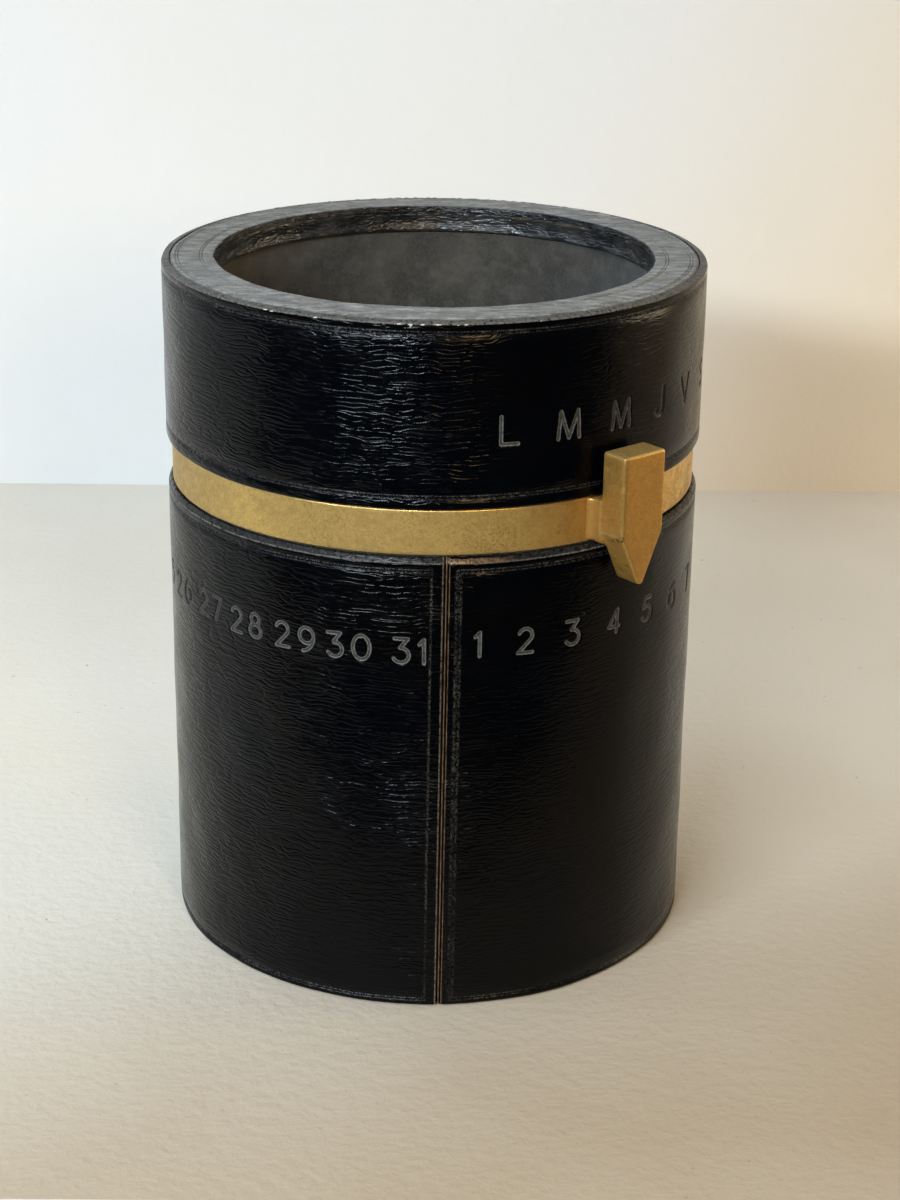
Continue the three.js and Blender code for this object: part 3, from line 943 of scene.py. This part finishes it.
# Rubbed grey: real wear, and a painted highlight where it lines the base's facet
RUBBED_GREY_AND_HIGHLIGHT, SCUFF_GREY = (0.16, 0.148, 0.128), (0.15, 0.15, 0.15)
RAW_PORE, RAW_BROWN, RAW_TAN = (0.03, 0.017, 0.01), (0.17, 0.102, 0.056), (0.42, 0.27, 0.145)
# Foil: its plain silver, and a lighter silver for the strokes' edges, which is a painted highlight
DULL_SILVER, SILVER_EDGE_HIGHLIGHT, CHIP_BUFF = (0.055, 0.054, 0.05), (0.15, 0.147, 0.136), (0.62, 0.57, 0.46)
LIP_BLACK, LIP_GREY = (0.007, 0.008, 0.0095), (0.034, 0.032, 0.03)
LIP_STREAK, LIP_BROWN = (0.06, 0.058, 0.054), (0.12, 0.095, 0.07)
RIM_GREYS = (0.14, 0.142, 0.134), (0.26, 0.258, 0.238)
RIM_SCRATCH, RIM_SCAR, RIM_SPOT = (0.42, 0.412, 0.385), (0.065, 0.065, 0.06), (0.07, 0.07, 0.067)
RIM_EDGE_BLACKS = (0.008, 0.009, 0.01), (0.04, 0.038, 0.035)
SUEDE_BROWNS = (0.026, 0.025, 0.022), (0.06, 0.055, 0.046)
SUEDE_DUST, SUEDE_NAP, SUEDE_FLECK = (0.11, 0.102, 0.087), (0.085, 0.079, 0.068), (0.35, 0.34, 0.32)
BOARD_BROWNS = (0.12, 0.07, 0.035), (0.24, 0.16, 0.09)
FELT_GREYS = (0.012, 0.011, 0.01), (0.04, 0.036, 0.033)
# Brass golds and ambers: the amber near the pointer and the pale gold of its top are painted reflections
BRASS_GOLDS = (0.82, 0.555, 0.175), (0.44, 0.28, 0.085)
BRASS_AMBERS = (0.62, 0.335, 0.078), (0.41, 0.21, 0.044)
BRASS_MOTTLE, BRASS_SPECK, BRASS_SPOT = (0.3, 0.18, 0.05), (0.2, 0.115, 0.035), (0.13, 0.07, 0.025)
# Polish for the edges, lightened as a painted highlight, and grime that also paints shade under the stem
BRASS_POLISH_AND_HIGHLIGHT, BRASS_GRIME_AND_SHADE = (0.9, 0.66, 0.28), (0.035, 0.018, 0.008)

# Wrinkles: a cell's size along X, Y and Z, how far and how widely it is pushed about, and its crease's share
LONG_WRINKLES = ((8 * MM, 8 * MM, 0.7 * MM), 2.4, 5 * MM, 0.2)
FINE_WRINKLES = ((2.4 * MM, 2.4 * MM, 0.36 * MM), 2.4, 2.6 * MM, 0.3)
LIP_WRINKLES = ((2.4 * MM, 2.4 * MM, 0.5 * MM), 1.8, 2.4 * MM, 0.3)
RIM_WRINKLES = ((2.2 * MM, 2.2 * MM, 0.5 * MM), 1.8, 2.4 * MM, 0.3)

# Stretched noise: a cell's size along X, Y and Z, and how far and how widely it is pushed about
SCUFF_CELLS = ((1.6 * MM, 1.6 * MM, 0.7 * MM), 1.5, 1.2 * MM)
RAW_FIBRE_CELLS = ((0.22 * MM, 0.22 * MM, 1.8 * MM),)
LIP_FINE_CELLS = ((1.5 * MM, 1.5 * MM, 0.2 * MM), 1.0, 3 * MM)
RIM_SCRATCH_CELLS = ((3.6 * MM, 0.8 * MM, 1 * MM), 1.0, 5 * MM)
BOARD_FIBRE_CELLS = ((2 * MM, 2 * MM, 0.4 * MM), 1.5, 3 * MM)
BRASS_SCRATCH_CELLS = ((1.2 * MM, 1.2 * MM, 0.16 * MM), 1.2, 4 * MM)

# How deep the bumps in the materials are
WRINKLE_BUMP = 0.07 * MM
BEAD_BUMP = 0.045 * MM
LIP_BUMP = 0.05 * MM
SUEDE_BUMP = 0.12 * MM
BOARD_BUMP = 0.08 * MM
FELT_BUMP = 0.15 * MM
BRASS_BUMP = 0.015 * MM


# Materials


class Graph:
    """The nodes of a material or a world, with a short method for each kind used here."""

    def __init__(self, owner, output="OutputMaterial"):
        self.owner = owner
        owner.use_nodes = True
        self.tree = owner.node_tree
        self.tree.nodes.clear()
        self.output = self.add(output)
        self.coordinates = self.add("TexCoord").outputs
        self.place = self.coordinates["Object"]

    def add(self, kind, inputs=None, **settings):
        """Adds a shader node. An input is a value, or another node's output to link."""
        node = self.tree.nodes.new("ShaderNode" + kind)
        for key, value in settings.items():
            setattr(node, key, value)
        for key, value in (inputs or {}).items():
            if isinstance(value, bpy.types.NodeSocket):
                self.tree.links.new(value, node.inputs[key])
            else:
                node.inputs[key].default_value = value
        return node

    def combine(self, operation, first, *others):
        """Adds, multiplies or compares values, one after another."""
        for other in others:
            first = self.add("Math", {0: first, 1: other}, operation=operation).outputs[0]
        return first

    def sum(self, *values):
        return self.combine("ADD", *values)

    def product(self, *values):
        return self.combine("MULTIPLY", *values)

    def most(self, *values):
        return self.combine("MAXIMUM", *values)

    def inverse(self, value):
        return self.combine("SUBTRACT", 1.0, value)

    def vector(self, operation, a, b, output="Vector"):
        return self.add("VectorMath", {0: a, 1: b}, operation=operation).outputs[output]

    def ramp(self, value, low, high, to_low=0.0, to_high=1.0):
        """A smooth change from to_low to to_high as the value goes from low to high."""
        inputs = {"Value": value, "From Min": low, "From Max": high, "To Min": to_low, "To Max": to_high}
        return self.add("MapRange", inputs, interpolation_type="SMOOTHSTEP").outputs[0]

    def blend(self, share, a, b):
        return self.add("Mix", {0: share, 2: a, 3: b}, data_type="FLOAT").outputs[0]

    def mix(self, share, a, b):
        """Colour a turning into colour b as the share goes from 0 to 1."""
        a, b = ((*colour, 1) if isinstance(colour, tuple) else colour for colour in (a, b))
        return self.add("Mix", {0: share, 6: a, 7: b}, data_type="RGBA").outputs[2]

    def mark(self, name):
        return self.add("Attribute", attribute_name=name, attribute_type="GEOMETRY").outputs["Fac"]

    def noise(self, size, detail=2.0, roughness=0.5):
        """Noise with features of about the given size."""
        inputs = {"Vector": self.place, "Scale": 1 / size, "Detail": detail, "Roughness": roughness}
        return self.add("TexNoise", inputs).outputs[0]

    def patches(self, size, low=0.3, high=0.7, to_low=0.0, to_high=1.0, detail=2.0, roughness=0.5):
        """Noise turned into smooth patches from to_low to to_high."""
        return self.ramp(self.noise(size, detail, roughness), low, high, to_low, to_high)

    def stretched(self, cell, push=0.0, push_size=1.0):
        """Places in cells of a size along X, Y and Z, pushed about by slow noise."""
        places = self.vector("MULTIPLY", self.place, tuple(1 / size for size in cell))
        drift = self.add("TexNoise", {"Vector": self.place, "Scale": 1 / push_size, "Detail": 1.0}).outputs[1]
        return self.vector("ADD", places, self.vector("MULTIPLY", drift, (push, push, push)))

    def stretched_noise(self, cells, detail, roughness):
        inputs = {"Vector": self.stretched(*cells), "Scale": 1.0, "Detail": detail, "Roughness": roughness}
        return self.add("TexNoise", inputs).outputs[0]

    def wrinkles(self, cell, push, push_size, crease_share):
        """Stretched cells: 0 at the creases between them, rising to 1 inside."""
        inputs = {"Vector": self.stretched(cell, push, push_size), "Scale": 1.0}
        from_crease = self.add("TexVoronoi", inputs, feature="DISTANCE_TO_EDGE").outputs["Distance"]
        return self.ramp(from_crease, 0.0, crease_share)

    def bump(self, height, depth, under=None):
        """A bumped normal, on top of another if given."""
        inputs = {"Height": height, "Distance": depth, "Strength": 1.0}
        if under is not None:
            inputs["Normal"] = under
        return self.add("Bump", inputs).outputs[0]

    def finish(self, colour, roughness, normal, others):
        """Ends in the shader, with its other inputs by name."""
        inputs = {"Base Color": colour, "Roughness": roughness, "Normal": normal} | others
        shader = self.add("BsdfPrincipled", inputs)
        self.tree.links.new(shader.outputs[0], self.output.inputs["Surface"])
        return self.owner


def new_graph(name):
    return Graph(bpy.data.materials.new(name))


def black_leather():
    """Straight-grained black leather: long wavy wrinkles, rubbed grey, stamped and scuffed. The rubbed grey
    on the base's facet is a painted highlight, and so are the foil's lighter stroke edges.
    """
    g = new_graph("black_leather")
    worn, raw, tooled, stroke = (g.mark(name) for name in ("worn", "raw", "tooled", "stroke"))
    inside = g.ramp(stroke, 0.25, 0.35, 1.0, 0.0)
    grain = g.sum(g.product(g.wrinkles(*LONG_WRINKLES), 0.8), g.product(g.wrinkles(*FINE_WRINKLES), 0.2))
    smooth_way = tuple(place(1 / SMOOTH_AT, math.radians(SMOOTH_ANGLE), 0))
    towards = g.vector("DOT_PRODUCT", g.place, smooth_way, "Value")
    handled = g.ramp(towards, *SMOOTH_SPAN_SHARES, 1.0, SMOOTH_SHARE)
    strength = g.product(g.patches(22 * MM, to_low=0.55), handled)
    flat = g.most(inside, g.product(tooled, 0.6))
    beads = g.patches(0.32 * MM, 0.35, 0.65, detail=1.0)
    normal = g.bump(g.product(grain, strength, g.inverse(flat)), WRINKLE_BUMP)
    normal = g.bump(g.product(beads, g.most(tooled, g.product(inside, 0.5))), BEAD_BUMP, normal)

    black = g.mix(g.patches(16 * MM, 0.4, 0.75, detail=3.0), BLUE_BLACK, WARM_BLACK)
    tool_rubbed = g.product(tooled, beads, g.patches(5 * MM, 0.3, 0.65, 0.12, 0.5))
    rub_and_highlight = g.patches(0.5 * MM, 0.3, 0.6, detail=3.0, roughness=0.7)
    rub_and_highlight = g.product(rub_and_highlight, g.most(worn, tool_rubbed))
    # Rubbed grey: wear on edges and tooled lines, and a painted highlight on the base's facet
    colour = g.mix(rub_and_highlight, black, RUBBED_GREY_AND_HIGHLIGHT)
    scuffs = g.ramp(g.stretched_noise(SCUFF_CELLS, 2.0, 0.6), 0.74, 0.8)
    scuffs = g.product(scuffs, g.patches(13 * MM, 0.56, 0.66, detail=1.0))
    colour = g.mix(g.product(scuffs, 0.4), colour, SCUFF_GREY)
    brown = g.mix(g.ramp(raw, 0.8, 1.0), RAW_BROWN, RAW_TAN)
    brown = g.mix(g.ramp(g.stretched_noise(RAW_FIBRE_CELLS, 4.0, 0.65), 0.34, 0.6), RAW_PORE, brown)
    colour = g.mix(g.ramp(g.sum(raw, g.product(g.noise(0.7 * MM), 0.4)), 0.45, 0.85), colour, brown)
    foil = g.product(g.patches(0.4 * MM, 0.25, 0.6, 0.3, detail=3.0, roughness=0.7), g.mark("foil"))
    # Painted highlight: the foil turns lighter towards the strokes' edges, where the groove walls would catch
    # the light
    foil_with_edge_highlight = g.mix(g.ramp(stroke, 0.1, 0.22), DULL_SILVER, SILVER_EDGE_HIGHLIGHT)
    colour = g.mix(g.product(foil, inside), colour, foil_with_edge_highlight)
    chips = g.ramp(g.sum(g.mark("chipped"), g.product(g.noise(0.3 * MM), 0.8)), 0.7, 0.95)
    colour = g.mix(chips, colour, CHIP_BUFF)

    rough = g.patches(7 * MM, to_low=0.16, to_high=0.26, detail=3.0)
    rough = g.sum(rough, g.product(g.most(raw, rub_and_highlight), 0.35))
    return g.finish(colour, rough, normal, {"Specular IOR Level": 0.14})


def crinkled_leather():
    """The lip's leather: shinier, crinkled and rubbed brown along its upper edge."""
    g = new_graph("lip_leather")
    fine = g.stretched_noise(LIP_FINE_CELLS, 4.0, 0.6)
    normal = g.bump(g.sum(g.wrinkles(*LIP_WRINKLES), g.product(fine, 0.5)), LIP_BUMP)
    colour = g.mix(g.patches(5 * MM, 0.35, detail=3.0), LIP_BLACK, LIP_GREY)
    colour = g.mix(g.ramp(fine, 0.5, 0.75, 0.0, 0.5), colour, LIP_STREAK)
    worn = g.product(g.mark("worn"), g.patches(3 * MM, 0.4, 0.62, detail=3.0, roughness=0.7))
    colour = g.mix(worn, colour, LIP_BROWN)
    rough = g.patches(2 * MM, to_low=0.25, to_high=0.42, detail=3.0)
    return g.finish(colour, rough, normal, {"Specular IOR Level": 0.6})


def rim_grey_leather():
    """The rim's leather: matt grey with fine scratches, and dark and wrinkled at its edges."""
    g = new_graph("rim_leather")
    at_edge = g.mark("raw")
    mottle = g.noise(2.5 * MM, 4.0, 0.65)
    scratch = g.stretched_noise(RIM_SCRATCH_CELLS, 3.0, 0.7)
    colour = g.mix(g.ramp(mottle, 0.32, 0.7), *RIM_GREYS)
    colour = g.mix(g.ramp(scratch, 0.5, 0.64, 0.0, 0.6), colour, RIM_SCRATCH)
    colour = g.mix(g.ramp(scratch, 0.36, 0.46, 0.6, 0.0), colour, RIM_SCAR)
    spots = g.patches(0.7 * MM, 0.56, 0.7, 0.0, 0.6, detail=3.0, roughness=0.7)
    colour = g.mix(spots, colour, RIM_SPOT)
    lines = g.product(g.mark("tooled"), g.patches(4 * MM, 0.3, 0.6, 0.1, 0.5))
    colour = g.mix(lines, colour, RIM_SPOT)
    colour = g.mix(at_edge, colour, g.mix(g.ramp(mottle, 0.4, 0.7), *RIM_EDGE_BLACKS))
    grain = g.sum(g.noise(0.4 * MM, 4.0, 0.65), g.product(scratch, 0.6))
    normal = g.bump(g.sum(grain, g.product(at_edge, g.wrinkles(*RIM_WRINKLES))), WRINKLE_BUMP)
    rough = g.sum(g.ramp(mottle, 0.3, 0.7, 0.55, 0.75), g.product(at_edge, -0.3))
    return g.finish(colour, rough, normal, {"Specular IOR Level": 0.45})


def dark_suede():
    """Napped suede: blotchy grey-brown, with light flecks of dust and pencil."""
    g = new_graph("suede")
    blotches = g.noise(9 * MM, 4.0, 0.6)
    nap = g.noise(0.35 * MM, 3.0, 0.7)
    colour = g.mix(g.ramp(blotches, 0.3, 0.7), *SUEDE_BROWNS)
    colour = g.mix(g.patches(2.6 * MM, 0.45, 0.75, 0.0, 0.5, detail=4.0, roughness=0.65), colour, SUEDE_DUST)
    colour = g.mix(g.ramp(nap, 0.35, 0.7, 0.0, 0.45), colour, SUEDE_NAP)
    colour = g.mix(g.patches(0.8 * MM, 0.76, 0.84, 0.0, 0.4, roughness=0.6), colour, SUEDE_FLECK)
    rough = g.ramp(blotches, 0.3, 0.7, 0.85, 0.98)
    return g.finish(colour, rough, g.bump(nap, SUEDE_BUMP), {"Sheen Weight": 0.25, "Specular IOR Level": 0.2})


def brown_board():
    """Pressed board: brown, flecked with fibres."""
    g = new_graph("board")
    fibres = g.stretched_noise(BOARD_FIBRE_CELLS, 4.0, 0.6)
    colour = g.mix(g.ramp(fibres, 0.3, 0.7), *BOARD_BROWNS)
    normal = g.bump(g.sum(fibres, g.noise(0.3 * MM, 3.0)), BOARD_BUMP)
    return g.finish(colour, g.ramp(fibres, 0.3, 0.7, 0.8, 0.95), normal, {})


def dark_felt():
    """Thin felt: matted dark fibres."""
    g = new_graph("felt")
    matted = g.noise(0.25 * MM, 5.0, 0.7)
    tufts = g.noise(2 * MM, 3.0)
    colour = g.mix(g.ramp(g.product(matted, tufts), 0.12, 0.4), *FELT_GREYS)
    rough = g.ramp(tufts, 0.3, 0.7, 0.9, 1.0)
    return g.finish(colour, rough, g.bump(matted, FELT_BUMP), {"Sheen Weight": 0.2})


def patinated_brass():
    """Old brass: golden, brown in blotches, with dark spots. Its edges are polished and lightened as a
    painted highlight, amber near the pointer and pale gold on the pointer's top are painted reflections, and
    the dark line under its stem is grime with painted shade.
    """
    g = new_graph("brass")
    edge = g.mark("edge")
    small = g.noise(1.3 * MM, 4.0, 0.65)
    broad = g.noise(9 * MM, 3.0, 0.55)
    patina = g.ramp(g.sum(g.product(broad, 0.7), g.product(small, 0.5)), 0.48, 0.74)
    patina = g.most(patina, g.product(g.mark("dull"), g.ramp(small, 0.3, 0.6, 0.65, 1.0)))
    # Gold turning amber by the painted reflection tint
    colour = g.mix(g.mark("reflection_tint"), g.mix(patina, *BRASS_GOLDS), g.mix(patina, *BRASS_AMBERS))
    mottle = g.patches(0.32 * MM, 0.42, 0.64, 0.0, 0.5, detail=3.0, roughness=0.7)
    colour = g.mix(mottle, colour, BRASS_MOTTLE)
    colour = g.mix(g.patches(0.3 * MM, 0.6, 0.78, 0.0, 0.4, roughness=0.6), colour, BRASS_SPECK)
    _, outer, low, high = node_size("pointer_ring")
    spotted = place(outer, math.radians(SPOTTED_ANGLE), (low + high) / 2 - SPOTTED_DROP)
    near = g.ramp(g.vector("DISTANCE", g.place, tuple(spotted), "Value"), *SPOTTED_REACH, 1.0, 0.0)
    spots = g.product(near, g.patches(0.5 * MM, 0.54, 0.6, detail=3.0, roughness=0.7))
    colour = g.mix(g.product(spots, 0.7), colour, BRASS_SPOT)
    # Edges: polished brass, lightened as a painted highlight
    colour = g.mix(g.product(edge, 0.25), colour, BRASS_POLISH_AND_HIGHLIGHT)
    # Darker along the band's foot, and painted shade with grime under the pointer's stem
    grime_and_shade_share = g.product(g.mark("grime_and_shade"), g.patches(0.9 * MM, 0.42, 0.56, detail=4.0, roughness=0.7))
    colour = g.mix(grime_and_shade_share, colour, BRASS_GRIME_AND_SHADE)
    rough = g.ramp(patina, 0.0, 1.0, 0.4, 0.52)
    rough = g.sum(rough, g.product(edge, -0.1), g.product(g.most(grime_and_shade_share, spots), 0.3))
    scratches = g.stretched_noise(BRASS_SCRATCH_CELLS, 3.0, 0.7)
    normal = g.bump(g.sum(small, g.product(scratches, 0.7)), BRASS_BUMP)
    return g.finish(colour, rough, normal, {"Metallic": g.ramp(patina, 0.0, 1.0, 0.75, 0.5)})


def painted(name, paint_and_light_colours, way, turn, depth, specks=None):
    """Matt paint that turns from one colour to another along a way, with or without specks. The turn is
    painted light and shade.
    """
    g = new_graph(name)
    fine = g.noise(2.2 * MM, 3.0, 0.55)
    # Painted light and shade: the colour turns with the distance along the way
    passed = g.ramp(g.vector("DOT_PRODUCT", g.place, way, "Value"), *turn, 0.0, 0.9)
    paint = g.mix(g.sum(passed, g.patches(60 * MM, to_high=0.1)), *paint_and_light_colours)
    if specks:
        paint = g.mix(g.patches(1.6 * MM, 0.72, 0.77, 0.0, 0.5, roughness=0.6), paint, specks)
    rough = g.ramp(fine, 0.3, 0.7, 0.6, 0.75)
    g.finish(paint, rough, g.bump(fine, depth), {"Specular IOR Level": 0.3})
    return g


def clear_from_behind(g):
    """Lets a camera behind the surface see through it."""
    shader = g.output.inputs["Surface"].links[0].from_socket
    behind = g.add("NewGeometry").outputs["Backfacing"]
    clear = g.add("BsdfTransparent").outputs[0]
    chosen = g.add("MixShader", {0: behind, 1: shader, 2: clear}).outputs[0]
    g.tree.links.new(chosen, g.output.inputs["Surface"])


# Stage, light and camera


def sheet(name, corners, paint):
    """A flat stage piece, facing the side its corners run anticlockwise on."""
    mesh = bpy.data.meshes.new(name)
    mesh.from_pydata(corners, [], [[0, 1, 2, 3]])
    mesh.materials.append(paint.owner)
    piece = add_object(name, mesh)


def stage():
    shelf = painted("shelf_paint_and_shade", **SHELF_PAINT_AND_SHADE)
    wall = painted("wall_paint_and_glow", **WALL_PAINT_AND_GLOW)
    clear_from_behind(wall)
    reach, back, front = STAGE_REACH, WALL_BEHIND, SHELF_FRONT
    sheet("shelf", [(-reach, -front, 0), (reach, -front, 0), (reach, back, 0), (-reach, back, 0)], shelf)
    sheet("wall", [(-reach, back, 0), (reach, back, 0), (reach, back, reach), (-reach, back, reach)], wall)


def lamp(name, colour, power, size, azimuth, elevation, distance, aim):
    """A rectangular lamp that looks at a point from an azimuth and elevation in degrees."""
    light = bpy.data.lights.new(name, "AREA")
    light.shape = "RECTANGLE"
    light.size, light.size_y = size
    light.color = colour
    light.energy = power
    piece = add_object(name, light)
    turn, rise = math.radians(azimuth), math.radians(elevation)
    outward = Vector((math.sin(turn) * math.cos(rise), -math.cos(turn) * math.cos(rise), math.sin(rise)))
    piece.location = Vector(aim) + outward * distance
    piece.rotation_euler = outward.to_track_quat("Z", "Y").to_euler()


def world():
    """A room that is pale above and behind and dim in front of the shelf.

    The camera sees it as a plain pale backdrop, and so do reflections on its pale side.
    """
    room = bpy.data.worlds.new("room")
    bpy.context.scene.world = room
    g = Graph(room, "OutputWorld")
    towards = g.vector("DOT_PRODUCT", g.coordinates["Generated"], ROOM_PALE_SIDE, "Value")
    pale = g.ramp(towards, *ROOM_TURN)
    rays = g.add("LightPath").outputs
    seen = g.most(rays["Is Camera Ray"], rays["Is Transmission Ray"])
    mirrored = g.product(rays["Is Glossy Ray"], pale)
    strength = g.blend(g.most(seen, mirrored), g.blend(pale, ROOM_DIM, ROOM_PALE), BACKGROUND_SHOWN)
    background = g.add("Background", {"Color": (*ROOM_COLOUR, 1), "Strength": strength})
    g.tree.links.new(background.outputs[0], g.output.inputs["Surface"])


def camera():
    """The photograph's viewpoint: in front of the -Y side, looking down."""
    data = bpy.data.cameras.new("photo_camera")
    data.sensor_width = SENSOR_MM
    data.lens = FOCAL_PX * SENSOR_MM / PHOTO_HEIGHT_PX
    piece = add_object("photo_camera", data)
    yaw, pitch, roll = CAMERA_YAW, CAMERA_PITCH, CAMERA_ROLL
    forward = Vector((math.sin(yaw) * math.cos(pitch), math.cos(yaw) * math.cos(pitch), -math.sin(pitch)))
    level = Vector((math.cos(yaw), -math.sin(yaw), 0))
    above = level.cross(forward)
    right = level * math.cos(roll) + above * math.sin(roll)
    up = above * math.cos(roll) - level * math.sin(roll)
    turn = Matrix((right, up, -forward)).transposed().to_4x4()
    piece.matrix_world = Matrix.Translation((0, -CAMERA_BACK, CAMERA_HEIGHT)) @ turn
    bpy.context.scene.camera = piece


def dress_hidden_pieces(material, nodes):
    """Gives pieces inside, which keep their CAD shapes, their material."""
    for node in nodes:
        for material_slot in frame["nodes"][node].material_slots:
            material_slot.material = material


def main():
    camera()
    leather = black_leather()
    suede = dark_suede()
    brass = patinated_brass()
    base_leather(leather)
    collar_leather(leather)
    foot_leather(leather)
    rim_leather(rim_grey_leather())
    lip_leather(crinkled_leather())
    well_lining(suede)
    well_floor(suede)
    brass_band(brass)
    brass_pointer(brass)
    dress_hidden_pieces(brown_board(), [
        "bottom_board", "inner_sleeve", "base_wall", "ring_journal", "retaining_hoop", "collar_wall",
        "collar_top_board",
    ])
    dress_hidden_pieces(dark_felt(), [
        "shoulder_washer", "ring_felt", "top_washer", "collar_washer", "collar_felt_lower",
        "collar_felt_upper",
    ])
    stage()
    for name, settings in LAMPS.items():
        lamp(name, *settings)
    world()
    bpy.context.scene.view_settings.view_transform = "Standard"


main()
